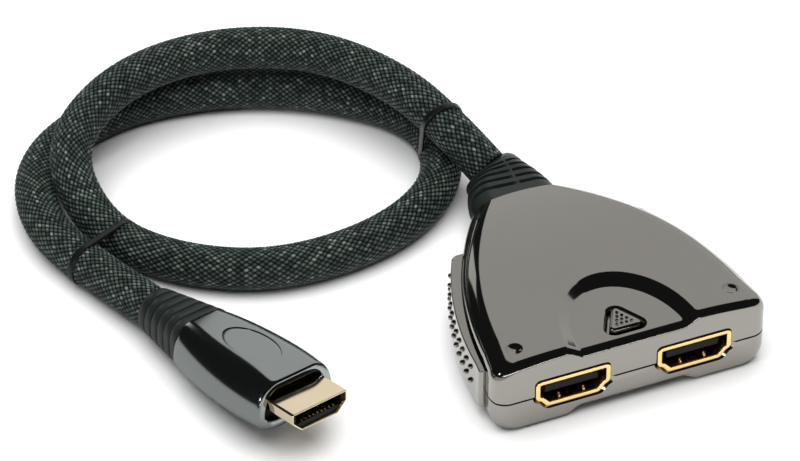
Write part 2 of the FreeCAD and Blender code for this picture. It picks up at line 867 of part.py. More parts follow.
def crimp_ferrule():
    ring = Part.makeCylinder(tail_radius + tail_gap + ferrule_wall, ferrule_length,
                             Vector(0, ferrule_front, boot_axis_z), Vector(0, 1, 0))
    bore = Part.makeCylinder(tail_radius + tail_gap, ferrule_length, Vector(0, ferrule_front, boot_axis_z),
                             Vector(0, 1, 0))
    return ring.cut(bore)


# Inner wires from the cable's end down to the board
def inner_wires():
    wires = []
    for i in range(wire_count):
        x = (i - (wire_count - 1) / 2) * wire_spread
        far_x = x * wire_fan
        landing_z = board_z + wire_radius
        points = [
            Vector(x, tail_front, boot_axis_z), Vector(x, tail_front - 2 * wire_radius, boot_axis_z),
            Vector(far_x, wire_landing + 2 * wire_spread, landing_z), Vector(far_x, wire_landing, landing_z),
        ]
        wires.append(tube(points, wire_radius, arc_share)[0])
    return Part.makeCompound(wires)


# Plug, in its own frame: y from the tip towards the cable, then laid on the cable's last run
def plug_place():
    towards = arrive * -1
    yaw = math.degrees(math.atan2(-towards.x, towards.y))
    pitch = math.degrees(math.asin(towards.z))
    turn = FreeCAD.Rotation(Vector(0, 0, 1), yaw)
    turn = turn.multiply(FreeCAD.Rotation(Vector(1, 0, 0), pitch))
    turn = turn.multiply(FreeCAD.Rotation(Vector(0, 1, 0), plug_roll))
    return FreeCAD.Placement(route[-1] + arrive * plug_length, turn)


def plug_outline(y, shrink):
    half_width = plug_half_width - shrink
    half_height = plug_half_height - shrink
    corner_x = plug_corner_x - shrink * math.tan(math.radians(30))
    points = (
        (-half_width, half_height), (-half_width, 0), (-corner_x, -half_height), (corner_x, -half_height),
        (half_width, 0), (half_width, half_height), (-half_width, half_height),
    )
    return Part.makePolygon([Vector(a, y, b) for a, b in points])


def plug_solid(y0, y1, shrink):
    return Part.Face(plug_outline(y0, shrink)).extrude(Vector(0, y1 - y0, 0))


def plug_slot():
    return block(-plug_slot_half_width, plug_slot_half_width, -overshoot, plug_slot_depth,
                 tongue_rise - plug_slot_height / 2, tongue_rise + plug_slot_height / 2)


def cover_loft(shrink, front, rear):
    wires = []
    for y, half_width, half_height, corner in cover_stations:
        wires.append(oval_wire(Vector(0, y, 0), Vector(1, 0, 0), Vector(0, 0, 1), half_width - shrink,
                               half_height - shrink, corner - shrink))
    body = Part.makeLoft(wires, True, False)
    span = 2 * plug_length
    return body.common(block(-span, span, front, rear, -span, span))


def badge_oval(grow):
    long_end = Vector(0, badge_y + badge_half_length + grow, 0)
    short_end = Vector(badge_half_width + grow, badge_y, 0)
    ring = Part.Ellipse(long_end, short_end, Vector(0, badge_y, 0)).toShape()
    return Part.Face(Part.Wire(ring)).extrude(Vector(0, 0, plug_length))


def plug_cover():
    shell = cover_loft(0, cover_front, cover_rear)
    shell = shell.cut(cover_loft(cover_wall, cover_front + cover_wall, cover_rear - cover_wall))
    shell = shell.cut(plug_solid(0, plug_shell_length, -cover_gap))
    rear_hole = Part.makeCylinder(plug_neck_radius + cover_gap, 2 * plug_boot_root,
                                  Vector(0, cover_rear - plug_boot_root, 0), Vector(0, 1, 0))
    shell = shell.cut(rear_hole)
    return shell.cut(badge_oval(badge_gap).cut(cover_loft(badge_sink, cover_front, cover_rear)))


def plug_badge():
    return cover_loft(0, cover_front, cover_rear).common(badge_oval(0)).cut(
        cover_loft(badge_sink, cover_front, cover_rear))


def plug_shell():
    bore = plug_solid(-overshoot, plug_shell_length + overshoot, plug_wall)
    return plug_solid(0, plug_shell_length, 0).cut(bore)


def plug_insulator():
    return plug_solid(plug_insulator_recess, plug_shell_length, plug_wall + insert_gap).cut(plug_slot())


def plug_contacts():
    front = plug_insulator_recess + contact_recess
    upper_z = tongue_rise + plug_slot_height / 2 - contact_thickness
    lower_z = tongue_rise - plug_slot_height / 2
    strips = contact_strips(upper_contacts, upper_z, front, plug_slot_depth, 0)
    strips += contact_strips(lower_contacts, lower_z, front, plug_slot_depth, 0)
    return Part.makeCompound(strips)


def plug_core():
    core = cover_loft(cover_wall + cover_gap, plug_shell_length, core_rear)
    front = Vector(0, plug_tail_front, 0)
    return core.cut(Part.makeCylinder(tail_radius + tail_gap, plug_length, front, Vector(0, 1, 0)))


def plug_cable_tail():
    return Part.makeCylinder(tail_radius, plug_length - plug_tail_front, Vector(0, plug_tail_front, 0),
                             Vector(0, 1, 0))


def plug_boot():
    length = plug_length - cover_rear
    narrowing = plug_boot_front_half_width - plug_boot_rear_radius
    lowering = plug_boot_front_half_height - plug_boot_rear_radius
    rounding = plug_boot_rear_radius - plug_boot_corner
    wires = []

    def ring(share, sink):
        half_width = plug_boot_front_half_width - narrowing * share - sink
        half_height = plug_boot_front_half_height - lowering * share - sink
        corner = min(plug_boot_corner + rounding * share - sink, half_height) - sliver
        centre = Vector(0, cover_rear + length * share, 0)
        return oval_wire(centre, Vector(1, 0, 0), Vector(0, 0, 1), half_width, half_height, corner)

    for k in range(plug_boot_rings):
        start = k / plug_boot_rings
        end = (k + 1) / plug_boot_rings
        wires.append(ring(start, 0))
        wires.append(ring(end - sliver / plug_boot_rings, plug_boot_step))
    wires.append(ring(1, 0))
    boot = loft(wires)
    front = Vector(0, core_rear, 0)
    neck = Part.makeCylinder(plug_neck_radius, cover_rear - core_rear, front, Vector(0, 1, 0))
    bore = Part.makeCylinder(tail_radius + tail_gap, plug_length, front, Vector(0, 1, 0))
    return boot.fuse(neck).cut(bore)


# Build every piece, move it into place and write it
os.makedirs("parts", exist_ok=True)
top_shell, bottom_shell = shells()
right_grip = side_grip()
cable, cable_length, cable_radii = tube(route, cable_diameter / 2, arc_share)
pieces = {
    "top_shell": top_shell,
    "bottom_shell": bottom_shell,
    "circuit_board": circuit_board(),
    "port_leds": port_leds(),
    "switch_chip": switch_chip(),
    "board_components": board_components(),
    "push_switch_body": push_switch_body(),
    "switch_plunger": switch_plunger(),
    "switch_dome": switch_dome(),
    "select_button": select_button(),
    "case_screws": case_screws(),
    "side_grip_right": right_grip,
    "side_grip_left": mirrored(right_grip),
    "housing_boot": housing_boot(),
    "cable_tail": tail_solid(tail_front, tail_radius),
    "crimp_ferrule": crimp_ferrule(),
    "inner_wires": inner_wires(),
    "cable": cable,
    "tie_near_housing": tie(first_tie_upper, first_tie_lower, first_tie_along),
    "tie_near_plug": tie(second_tie_inner, second_tie_outer, second_tie_along),
}
for name, side in (("left", LEFT), ("right", RIGHT)):
    pieces[name + "_socket_shell"] = socket_shell(side)
    pieces[name + "_socket_tongue"] = socket_tongue(side)
    pieces[name + "_socket_contacts"] = socket_contacts(side)
    pieces[name + "_light_pipe"] = light_pipe(side)
plug_pieces = {
    "plug_shell": plug_shell(),
    "plug_insulator": plug_insulator(),
    "plug_contacts": plug_contacts(),
    "plug_core": plug_core(),
    "plug_cover": plug_cover(),
    "plug_badge": plug_badge(),
    "plug_boot": plug_boot(),
    "plug_cable_tail": plug_cable_tail(),
}
for name, shape in plug_pieces.items():
    shape.Placement = plug_place().multiply(shape.Placement)
    pieces[name] = shape
for name, shape in pieces.items():
    shape.Placement = FreeCAD.Placement(origin_shift, FreeCAD.Rotation()).multiply(shape.Placement)
    shape.exportStep("parts/" + name + ".step")
    box = shape.BoundBox
    print(name, "solids", len(shape.Solids), "valid", shape.isValid(), "volume", round(shape.Volume, 1),
          "x", round(box.XMin, 2), round(box.XMax, 2), "y", round(box.YMin, 2), round(box.YMax, 2),
          "z", round(box.ZMin, 2), round(box.ZMax, 2))
print("origin shift", origin_shift)
print("cable length", round(cable_length, 1), "volume over section times length",
      round(cable.Volume / (math.pi * cable_diameter ** 2 / 4 * cable_length), 5))
print("cable radii", [round(radius, 1) for radius in cable_radii])
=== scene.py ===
import functools
import math

import bmesh
import bpy
import numpy as np
from mathutils import Matrix, Vector


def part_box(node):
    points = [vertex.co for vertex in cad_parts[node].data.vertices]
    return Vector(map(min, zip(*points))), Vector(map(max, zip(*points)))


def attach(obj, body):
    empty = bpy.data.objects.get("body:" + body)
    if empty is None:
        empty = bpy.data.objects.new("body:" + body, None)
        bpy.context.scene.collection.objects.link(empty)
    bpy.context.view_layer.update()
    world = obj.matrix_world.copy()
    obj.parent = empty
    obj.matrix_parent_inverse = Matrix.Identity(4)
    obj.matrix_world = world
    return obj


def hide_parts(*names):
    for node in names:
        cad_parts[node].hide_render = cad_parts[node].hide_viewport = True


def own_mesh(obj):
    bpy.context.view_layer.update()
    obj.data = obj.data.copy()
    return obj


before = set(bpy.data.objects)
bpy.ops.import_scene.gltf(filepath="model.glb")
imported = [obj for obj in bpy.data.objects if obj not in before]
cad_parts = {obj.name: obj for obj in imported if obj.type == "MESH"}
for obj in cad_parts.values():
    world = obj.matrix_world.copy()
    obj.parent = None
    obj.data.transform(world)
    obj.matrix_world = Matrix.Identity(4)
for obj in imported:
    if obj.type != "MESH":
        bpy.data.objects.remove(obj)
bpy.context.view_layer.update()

mm = 0.001


# The studio: a white table top that the camera sees from the box's front left corner, through a
# long lens. The glossy parts mirror a broad soft light behind, a window, a low strip in front
# and a small strobe. The overhead light only brightens the table and the matt parts.
port_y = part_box("top_shell")[0].y
photo_width, photo_focal = 800, 4912.3
camera_azimuth, camera_elevation, camera_distance = math.radians(-23.4), math.radians(38.3), 1.0
camera_target = Vector((-20.5 * mm, port_y + 66.8 * mm, 0))
table_tone, mirrored_tone, floor_half = 0.93, 0.46, 3.0
mirrored_from, mirrored_to = -68 * mm, -50 * mm


def added(name, data):
    """A new object in the scene."""
    made = bpy.data.objects.new(name, data)
    bpy.context.scene.collection.objects.link(made)
    return made


def aimed(thing, place, aim):
    """Puts a camera or a light at a place and turns it to another."""
    thing.location = place
    thing.rotation_mode = "QUATERNION"
    thing.rotation_quaternion = (Vector(aim) - Vector(place)).to_track_quat("-Z", "Y")


def new_material(name):
    """A material, its node tree and its shader."""
    made = bpy.data.materials.new(name)
    made.use_nodes = True
    return made, made.node_tree, made.node_tree.nodes["Principled BSDF"]


def feed(tree, node, inputs):
    """Gives a node's inputs their values, or links them to the sockets that stand there."""
    for label, value in inputs.items():
        if isinstance(value, bpy.types.NodeSocket):
            tree.links.new(value, node.inputs[label])
        else:
            node.inputs[label].default_value = value


def new_node(tree, kind, inputs, **settings):
    """A shader node of a kind, with its settings made and its inputs fed."""
    node = tree.nodes.new("ShaderNode" + kind)
    for label, value in settings.items():
        setattr(node, label, value)
    feed(tree, node, inputs)
    return node


camera_data = bpy.data.cameras.new("camera")
camera_data.sensor_width = 36.0
camera_data.lens = photo_focal / photo_width * camera_data.sensor_width
camera_data.clip_start = 0.01
camera_data.clip_end = 20
camera = added("camera", camera_data)
bpy.context.scene.camera = camera
camera_back = Vector((
    math.sin(camera_azimuth) * math.cos(camera_elevation),
    -math.cos(camera_azimuth) * math.cos(camera_elevation),
    math.sin(camera_elevation),
))
aimed(camera, camera_target + camera_back * camera_distance, camera_target)
bpy.context.scene.view_settings.view_transform = "Standard"

world = bpy.data.worlds.new("studio")
bpy.context.scene.world = world
world.use_nodes = True
world.node_tree.nodes["Background"].inputs["Color"].default_value = (0.02, 0.02, 0.021, 1)

for light_name, place, aim, width, height, watts, in_reflections in (
    ("overhead", (-0.1, 0.0, 0.9), (-0.03, 0.02, 0), 1.2, 1.2, 16, False),
    ("back_softbox", (0.786, 0.748, 0.68), (0, 0, 0.02), 1.43, 1.4, 5.0, True),
    ("side_window", (-0.2, 1.18, 0.3), (0, 0, 0.02), 0.3, 0.7, 0.6, True),
    ("front_strip", (-0.25, -1.2, 0.17), (0, 0, 0.01), 1.6, 0.05, 1.9, True),
    ("side_strobe", (-1.0, -0.22, 0.39), (0, 0, 0.01), 0.11, 0.11, 1.0, True),
):
    light_data = bpy.data.lights.new(light_name, "AREA")
    light_data.shape = "RECTANGLE"
    light_data.size, light_data.size_y, light_data.energy = width, height, watts
    light = added(light_name, light_data)
    light.visible_glossy = in_reflections
    aimed(light, place, aim)

floor_mesh = bpy.data.meshes.new("table_top")
floor_mesh.from_pydata([(-floor_half, -floor_half, 0), (floor_half, -floor_half, 0),
                        (floor_half, floor_half, 0), (-floor_half, floor_half, 0)], [], [(0, 1, 2, 3)])
floor = added("table_top", floor_mesh)
floor_material, floor_tree, floor_shader = new_material("table_white")
floor_spot = new_node(floor_tree, "NewGeometry", {})
floor_axes = new_node(floor_tree, "SeparateXYZ", {"Vector": floor_spot.outputs["Position"]})
floor_ray = new_node(floor_tree, "LightPath", {})
# What the plug's side mirrors is darker than the table that the camera sees
mirrored = new_node(floor_tree, "MapRange", {
    "Value": floor_axes.outputs["X"], "From Min": mirrored_from, "From Max": mirrored_to,
    "To Min": mirrored_tone, "To Max": table_tone})
floor_tone = new_node(floor_tree, "Mix", {
    "Factor": floor_ray.outputs["Is Glossy Ray"], "A": table_tone, "B": mirrored.outputs["Result"]})
feed(floor_tree, floor_shader, {
    "Base Color": floor_tone.outputs["Result"], "Roughness": 0.9, "Specular IOR Level": 0.0})
floor_mesh.materials.append(floor_material)


# The cable: about 390 mm of round video cable in a braided sleeve of glossy black filament.
# It leaves the box's boot, makes one and a half turns on the table and ends in the plug's boot.
# Points are in millimetres from the port face, and steer one smooth spline.
cable_diameter = 8.7
cable_route = (
    (-0.6, 68.2, 9.0), (-4.8, 76.6, 14.5), (-9.5, 95.0, 15.8), (-20.7, 113.8, 14.9),
    (-41.0, 122.3, 14.7), (-62.8, 118.3, 15.0), (-79.6, 104.8, 12.0), (-79.1, 85.3, 5.2),
    (-68.9, 69.6, 4.5), (-49.8, 58.7, 4.5), (-24.3, 60.9, 4.5), (-6.4, 73.4, 4.8),
    (-3.3, 95.0, 4.8), (-19.4, 112.8, 4.5), (-40.5, 122.3, 4.5), (-64.0, 123.0, 4.5),
    (-83.2, 111.8, 4.6), (-89.5, 91.2, 5.1), (-82.9, 71.0, 4.5), (-77.79, 56.03, 5.89),
)
braid_strands, braid_samples = 24, 5
braid_cell = 1.5 * mm
braid_relief = 0.35
strand_filaments = 5.0


def placed(points):
    """Points in millimetres from the port face, as places in the frame, in metres."""
    return np.asarray(points, float) * mm + (0, port_y, 0)


def spline_line(points):
    """Points along one smooth spline that the given points steer."""
    curve = bpy.data.curves.new("line", "CURVE")
    curve.dimensions = "3D"
    curve.resolution_u = 24
    spline = curve.splines.new("NURBS")
    spline.points.add(len(points) - 1)
    for point, place in zip(spline.points, points):
        point.co = (*place, 1)
    spline.order_u = 3
    spline.use_endpoint_u = True
    holder = added("line", curve)
    mesh = bpy.data.meshes.new_from_object(holder)
    line = np.array([vertex.co for vertex in mesh.vertices], float)
    bpy.data.objects.remove(holder)
    bpy.data.meshes.remove(mesh)
    bpy.data.curves.remove(curve)
    return line


def runs_along(line):
    """How far along a line each of its points is."""
    return np.concatenate([[0], np.cumsum(np.linalg.norm(np.diff(line, axis=0), axis=1))])


def carried_frames(line):
    """A side and an up direction at each point of a line, carried along it without twist."""
    along = np.gradient(line, axis=0)
    along /= np.linalg.norm(along, axis=1)[:, None]
    side = np.cross(along[0], (0, 0, 1))
    sides = [side / np.linalg.norm(side)]
    for tangent in along[1:]:
        side = sides[-1] - tangent * np.dot(sides[-1], tangent)
        sides.append(side / np.linalg.norm(side))
    sides = np.array(sides)
    return sides, np.cross(sides, along)


def smoothed(mesh, sharp):
    """Faces turned outward and shaded smooth, with creases where they meet at more than an angle."""
    shape = bmesh.new()
    shape.from_mesh(mesh)
    bmesh.ops.remove_doubles(shape, verts=shape.verts, dist=2e-7)
    bmesh.ops.recalc_face_normals(shape, faces=shape.faces)
    shape.to_mesh(mesh)
    shape.free()
    mesh.polygons.foreach_set("use_smooth", [True] * len(mesh.polygons))
    mesh.set_sharp_from_angle(angle=math.radians(sharp))
    mesh.update()
    return mesh


def grid_mesh(points, caps=True, sharp=40):
    """A tube of quads from rings of points, with a UV map in shares of its rows and columns."""
    points = np.asarray(points, float)
    rows, columns = points.shape[:2]
    row, column = np.arange(rows - 1)[:, None], np.arange(columns)[None, :]
    here, beside = row * columns + column, row * columns + (column + 1) % columns
    polygons = np.stack([here, beside, beside + columns, here + columns], axis=-1).reshape(-1, 4).tolist()
    corners = len(polygons) * 4
    if caps:
        polygons.append(list(range(columns))[::-1])
        polygons.append([(rows - 1) * columns + i for i in range(columns)])
    mesh = bpy.data.meshes.new("grid")
    mesh.from_pydata(points.reshape(-1, 3).tolist(), [], polygons)
    layer = mesh.uv_layers.new(name="grid")
    uv = np.zeros((len(layer.data), 2))
    uv[:corners, 0] = ((column + 0 * row)[..., None] + (0, 1, 1, 0)).reshape(-1) / columns
    uv[:corners, 1] = ((row + 0 * column)[..., None] + (0, 0, 1, 1)).reshape(-1) / (rows - 1)
    layer.data.foreach_set("uv", uv.reshape(-1))
    return smoothed(mesh, sharp)


def piece(name, mesh, material, body, slot, *stands_for):
    """An object that rides on a body, wears the given material and stands for solids; its slot is not used."""
    made = added(name, mesh)
    mesh.name = name
    mesh.materials.append(material)
    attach(made, body)
    if stands_for:
        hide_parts(*stands_for)
    return made


def braid_height(around, along):
    """Height of the sleeve, from 0 in the gaps to 1 on the crowns; two families of strands cross."""
    first, second = around + along, around - along
    over = (np.floor(first) + np.floor(second)) % 2 < 0.5
    across = np.where(over, first, second) % 1 * 2 - 1
    lengthwise = np.where(over, second, first) % 1 * 2 - 1
    return np.sqrt(np.clip(1 - across ** 2, 0, 1)) * (1 - 0.55 * lengthwise ** 2)


smooth_route = spline_line(placed(cable_route))
route_run = runs_along(smooth_route)
cable_length = route_run[-1]
cable_rows = int(cable_length / braid_cell * braid_samples)
steps = np.linspace(0, cable_length, cable_rows)
cable_line = np.stack([np.interp(steps, route_run, smooth_route[:, k]) for k in range(3)], axis=1)
cable_side, cable_up = carried_frames(cable_line)

around = np.arange(braid_strands * braid_samples)[None, :] / braid_samples
lengthways = np.arange(cable_rows)[:, None] * (cable_length / (cable_rows - 1) / braid_cell)
radius = (cable_diameter / 2 - braid_relief * (1 - braid_height(around, lengthways))) * mm
angle = around / braid_strands * 2 * math.pi
cable_points = (cable_line[:, None, :]
                + cable_side[:, None, :] * (np.cos(angle) * radius)[..., None]
                + cable_up[:, None, :] * (np.sin(angle) * radius)[..., None])


def new_group(name, inputs, outputs):
    """A shader node group with named number sockets, and the nodes that stand for its two ends."""
    tree = bpy.data.node_groups.new(name, "ShaderNodeTree")
    for label, kind in inputs:
        tree.interface.new_socket(label, in_out="INPUT", socket_type=kind)
    for label in outputs:
        tree.interface.new_socket(label, in_out="OUTPUT", socket_type="NodeSocketFloat")
    return tree, tree.nodes.new("NodeGroupInput"), tree.nodes.new("NodeGroupOutput")


def math_node(tree, operation, *sides):
    """One sum in a node tree; each side is a socket or a number."""
    return new_node(tree, "Math", dict(enumerate(sides)), operation=operation).outputs[0]


# Weave of the sleeve: each strand goes over one and under one, a flat ribbon of fine filaments
weave_group, weave_in, weave_out = new_group(
    "sleeve_weave", (("Around", "NodeSocketFloat"), ("Along", "NodeSocketFloat")),
    ("Crown", "Height", "Tone_and_glint"))
add, subtract, multiply, power, whole, rest_of, root, sine, modulo, zigzag = (
    functools.partial(math_node, weave_group, operation) for operation in (
        "ADD", "SUBTRACT", "MULTIPLY", "POWER", "FLOOR", "FRACT", "SQRT", "SINE", "FLOORED_MODULO",
        "PINGPONG"))
first_strand = add(weave_in.outputs["Around"], weave_in.outputs["Along"])
second_strand = subtract(weave_in.outputs["Around"], weave_in.outputs["Along"])
under = modulo(add(whole(first_strand), whole(second_strand)), 2.0)
over = subtract(1.0, under)
top_strand = add(multiply(first_strand, over), multiply(second_strand, under))
low_strand = add(multiply(first_strand, under), multiply(second_strand, over))
across = subtract(multiply(rest_of(top_strand), 2.0), 1.0)
lengthwise = subtract(multiply(rest_of(low_strand), 2.0), 1.0)
across_square, length_square = multiply(across, across), multiply(lengthwise, lengthwise)
crown = multiply(power(subtract(1.0, across_square), 1.7), subtract(1.0, multiply(length_square, 0.85)))
filament = zigzag(multiply(top_strand, strand_filaments), 1.0)
bow = multiply(root(subtract(1.001, across_square)), subtract(1.0, multiply(length_square, 0.6)))
# Every cell of the weave gets a number by chance: the strands' tone shifts at random, and a few much lighter cells
# are a painted glint
cell_mark = add(multiply(whole(first_strand), 12.99), multiply(whole(second_strand), 78.23))
cell_chance = rest_of(multiply(sine(cell_mark), 437.5))
feed(weave_group, weave_out, {
    "Crown": crown,
    "Height": add(bow, multiply(filament, 0.08)),
    "Tone_and_glint": add(multiply(cell_chance, 0.45), multiply(power(cell_chance, 18.0), 0.55)),
})

sleeve, sleeve_tree, sleeve_shader = new_material("braided_sleeve")
sleeve_place = new_node(sleeve_tree, "UVMap", {}, uv_map="grid")
sleeve_axes = new_node(sleeve_tree, "SeparateXYZ", {"Vector": sleeve_place.outputs["UV"]})
weave = new_node(sleeve_tree, "Group", {
    "Around": math_node(sleeve_tree, "MULTIPLY", sleeve_axes.outputs["X"], braid_strands),
    "Along": math_node(sleeve_tree, "MULTIPLY", sleeve_axes.outputs["Y"], cable_length / braid_cell),
}, node_tree=weave_group)
# Strand colour: random tone between two shades, with the lightest shade on a few cells as a painted highlight
strand_tone_and_glint = new_node(sleeve_tree, "Mix", {
    "Factor": weave.outputs["Tone_and_glint"], "A": (0.022, 0.038, 0.031, 1), "B": (0.22, 0.27, 0.24, 1),
}, data_type="RGBA")
# The black core shows through the gaps, and the strands are painted darker towards their edges and where they dip
# under a crossing strand: painted crease shade
gap_and_crease_shade = new_node(sleeve_tree, "Mix", {
    "Factor": weave.outputs["Crown"], "A": (0.0005, 0.001, 0.0008, 1), "B": strand_tone_and_glint.outputs["Result"],
}, data_type="RGBA")
sleeve_gloss = new_node(sleeve_tree, "MapRange", {
    "Value": weave.outputs["Crown"], "To Min": 0.7, "To Max": 0.3})
strand_bump = new_node(sleeve_tree, "Bump", {
    "Height": weave.outputs["Height"], "Strength": 0.8, "Distance": 0.3 * mm})
feed(sleeve_tree, sleeve_shader, {
    "Base Color": gap_and_crease_shade.outputs["Result"], "Roughness": sleeve_gloss.outputs["Result"],
    "Specular IOR Level": 0.2, "Normal": strand_bump.outputs["Normal"]})
cable = piece("cable_sleeve", grid_mesh(cable_points, sharp=180), sleeve, "housing", "braid", "cable")


# Two ties: soft black rubber bands that hold strands of the cable together and bite a little
# into the sleeve. Each runs round two strands in the plane across them.
tie_width, tie_thickness, tie_bite = 1.5, 0.6, 0.3

# Worn surface: fine grain for bump and broad soft patches for colour and gloss
surface_group, surface_in, surface_out = new_group(
    "fine_surface", (("Vector", "NodeSocketVector"), ("Grain", "NodeSocketFloat"),
                     ("Patches", "NodeSocketFloat")), ("Grain", "Patches"))
for effect, detail in (("Grain", 3.0), ("Patches", 4.0)):
    noise = new_node(surface_group, "TexNoise", {
        "Vector": surface_in.outputs["Vector"], "Scale": surface_in.outputs[effect], "Detail": detail})
    feed(surface_group, surface_out, {effect: noise.outputs["Fac"]})


def finish(name, light, dark, roughness, metallic, grain, patches, bump, gloss_swing=0.05, specular=0.5):
    """A material whose colour drifts between two shades, with fine grain in its gloss and bump."""
    made, tree, shader = new_material(name)
    place = new_node(tree, "TexCoord", {})
    surface = new_node(tree, "Group", {
        "Vector": place.outputs["Object"], "Grain": grain, "Patches": patches}, node_tree=surface_group)
    shade = new_node(tree, "Mix", {
        "Factor": surface.outputs["Patches"], "A": (*dark, 1), "B": (*light, 1)}, data_type="RGBA")
    gloss = new_node(tree, "MapRange", {
        "Value": surface.outputs["Patches"],
        "To Min": roughness - gloss_swing, "To Max": roughness + gloss_swing})
    relief = new_node(tree, "Bump", {
        "Height": surface.outputs["Grain"], "Strength": bump, "Distance": 0.05 * mm})
    feed(tree, shader, {
        "Base Color": shade.outputs["Result"], "Metallic": metallic, "Roughness": gloss.outputs["Result"],
        "Specular IOR Level": specular, "Normal": relief.outputs["Normal"]})
    return made


def tie_mesh(one, other, direction):
    along = np.array(direction, float) / np.linalg.norm(direction)
    first = np.array(one, float)
    between = np.array(other, float) - first
    between -= along * between.dot(along)
    across = between / np.linalg.norm(between)
    side = np.cross(along, across)
    ring = cable_diameter / 2 - tie_bite + tie_thickness / 2
    rows = []
    for centre, start in ((first, 90), (first + between, 270)):
        for degrees in np.linspace(start, start + 180, 40):
            turn = math.radians(degrees)
            outward = across * math.cos(turn) + side * math.sin(turn)
            section = []
            for share in np.arange(20) / 20 * 2 * math.pi:
                wide = abs(math.cos(share)) ** 0.5 * math.copysign(tie_width / 2, math.cos(share))
                thick = abs(math.sin(share)) ** 0.7 * math.copysign(tie_thickness / 2, math.sin(share))
                section.append(centre + outward * (ring + thick) + along * wide)
            rows.append(section)
    rows.append(rows[0])
    return grid_mesh(placed(rows), caps=False, sharp=50)


tie_rubber = finish("tie_rubber", (0.008, 0.009, 0.009), (0.004, 0.005, 0.005), 0.32, 0.0, 3000, 200, 0.15,
                    specular=0.35)
for tie_name, tie_node, one, other, direction in (
    ("tie_near_box", "tie_near_housing", (-5.5, 80.0, 14.5), (-4.9, 83.4, 4.95), (-0.1, 0.95, 0.27)),
    ("tie_near_plug_band", "tie_near_plug", (-76.0, 80.3, 5.0), (-84.9, 76.9, 4.75), (0.39, -0.92, -0.03)),
):
    piece(tie_name, tie_mesh(one, other, direction), tie_rubber, "housing", "tie", tie_node)


# The case: a fan-shaped box of two die-cast shells in glossy gunmetal lacquer, held face to
# face by screws from below. A sloped thumb dish in the top runs out over the port face, with a
# twin underneath, and the mouths for the sockets are cut through both halves of the front.
case_half_width, case_length, case_height = 28.8, 54.5, 17.0
side_arc, rear_bulge, edge_round, front_round, wall = 84.0, 2.8, 4.3, 1.8, 1.5
rear_flare, rear_flare_y = 1.2, 38
front_flare, front_flare_y, nose_draw, nose_y = 0.8, 9, 1.7, 4
bulge_y, roll_y = 34, 38
parting, seam_width, seam_depth = 7.6, 0.4, 0.8
top_flat, rear_top, under_flat, rear_under = 22.0, 12.6, 26.0, 2.8
dish_half_x, dish_half_y, dish_run, dish_soft = 11.0, 16.6, 3.0, 0.16
dish_depths = {1: 1.6, -1: 1.5}
corner_fall, corner_fall_width = 1.4, 17.0
side_steps, top_steps = 7, 165

socket_x, socket_z = 13.0, 8.0
socket_mouth = ((-7.0, 2.275), (-7.0, -0.6), (-6.3, -0.85), (-5.1, -2.275),
                (5.1, -2.275), (6.3, -0.85), (7.0, -0.6), (7.0, 2.275))
socket_lip, socket_gap, socket_relief, relief_shift = 0.95, 0.15, 0.8, 0.5
lamp_x, lamp_y, lamp_radius, lamp_gap = 23.2, 5.2, 1.6, 0.05
button_core = ((-2.35, 4.3), (2.35, 4.3), (0.0, 8.7))
button_corner, button_gap, button_bevel = 1.0, 0.4, 0.8
neck_half_x, neck_half_z, neck_corner, neck_z = 3.7, 0.6, 3.4, 7.7
screw_places, screw_hole_radius = ((-21.0, 20.0), (21.0, 20.0), (0.0, 33.0)), 1.9
grip_front, grip_rear, grip_low, grip_high, grip_gap = 6.0, 41.0, 3.1, 12.1, 0.1
grip_inset, pocket_inset, pocket_reach = 0.6, 0.7, 4.0


def side_line(y, out=0.0):
    """Half width of the case at a distance behind the port face, moved outward."""
    y = np.asarray(y, float)
    flare = (rear_flare * np.clip((y - rear_flare_y) / (case_length - rear_flare_y), 0, 1) ** 2
             + front_flare * np.clip(1 - y / front_flare_y, 0, 1)
             - nose_draw * np.clip(1 - y / nose_y, 0, 1) ** 2)
    return case_half_width - side_arc + np.sqrt((side_arc + out) ** 2 - y ** 2) + flare


rear_corner_x = side_line(case_length - rear_bulge)
rear_arc = (rear_corner_x ** 2 + rear_bulge ** 2) / (2 * rear_bulge)


def bent_line(y, flat, fall):
    """How far the top or underside has bent away from flat."""
    arc = ((case_length - flat) ** 2 + fall ** 2) / (2 * fall)
    return arc - np.sqrt(arc ** 2 - np.clip(y - flat, 0, None) ** 2)


def dish_depth(x, y, depth, grow):
    """Depth of the dish: a flat oval floor and a wall that slopes up to the rim, softly rounded."""
    low, high = np.zeros_like(x), np.ones_like(x)
    for _ in range(22):
        middle = (low + high) / 2
        widen = grow + dish_run * middle
        outside = np.hypot(x / (dish_half_x + widen), y / (dish_half_y + widen)) > 1
        low, high = np.where(outside, middle, low), np.where(outside, high, middle)
    share = (low + high) / 2
    slope = 1 / (1 - dish_soft)
    rise = np.where(share < dish_soft, slope * share ** 2 / (2 * dish_soft), slope * (share - dish_soft / 2))
    rise = np.where(share > 1 - dish_soft, 1 - slope * (1 - share) ** 2 / (2 * dish_soft), rise)
    return depth * (1 - np.clip(rise, 0, 1))


def corner_drop(x, y):
    """How far the top rolls off towards its outer front corners."""
    reach = (np.abs(x) - side_line(y) + corner_fall_width) / corner_fall_width
    return corner_fall * np.clip(1 - y / roll_y, 0, 1) ** 1.5 * np.clip(reach, 0, 1) ** 2


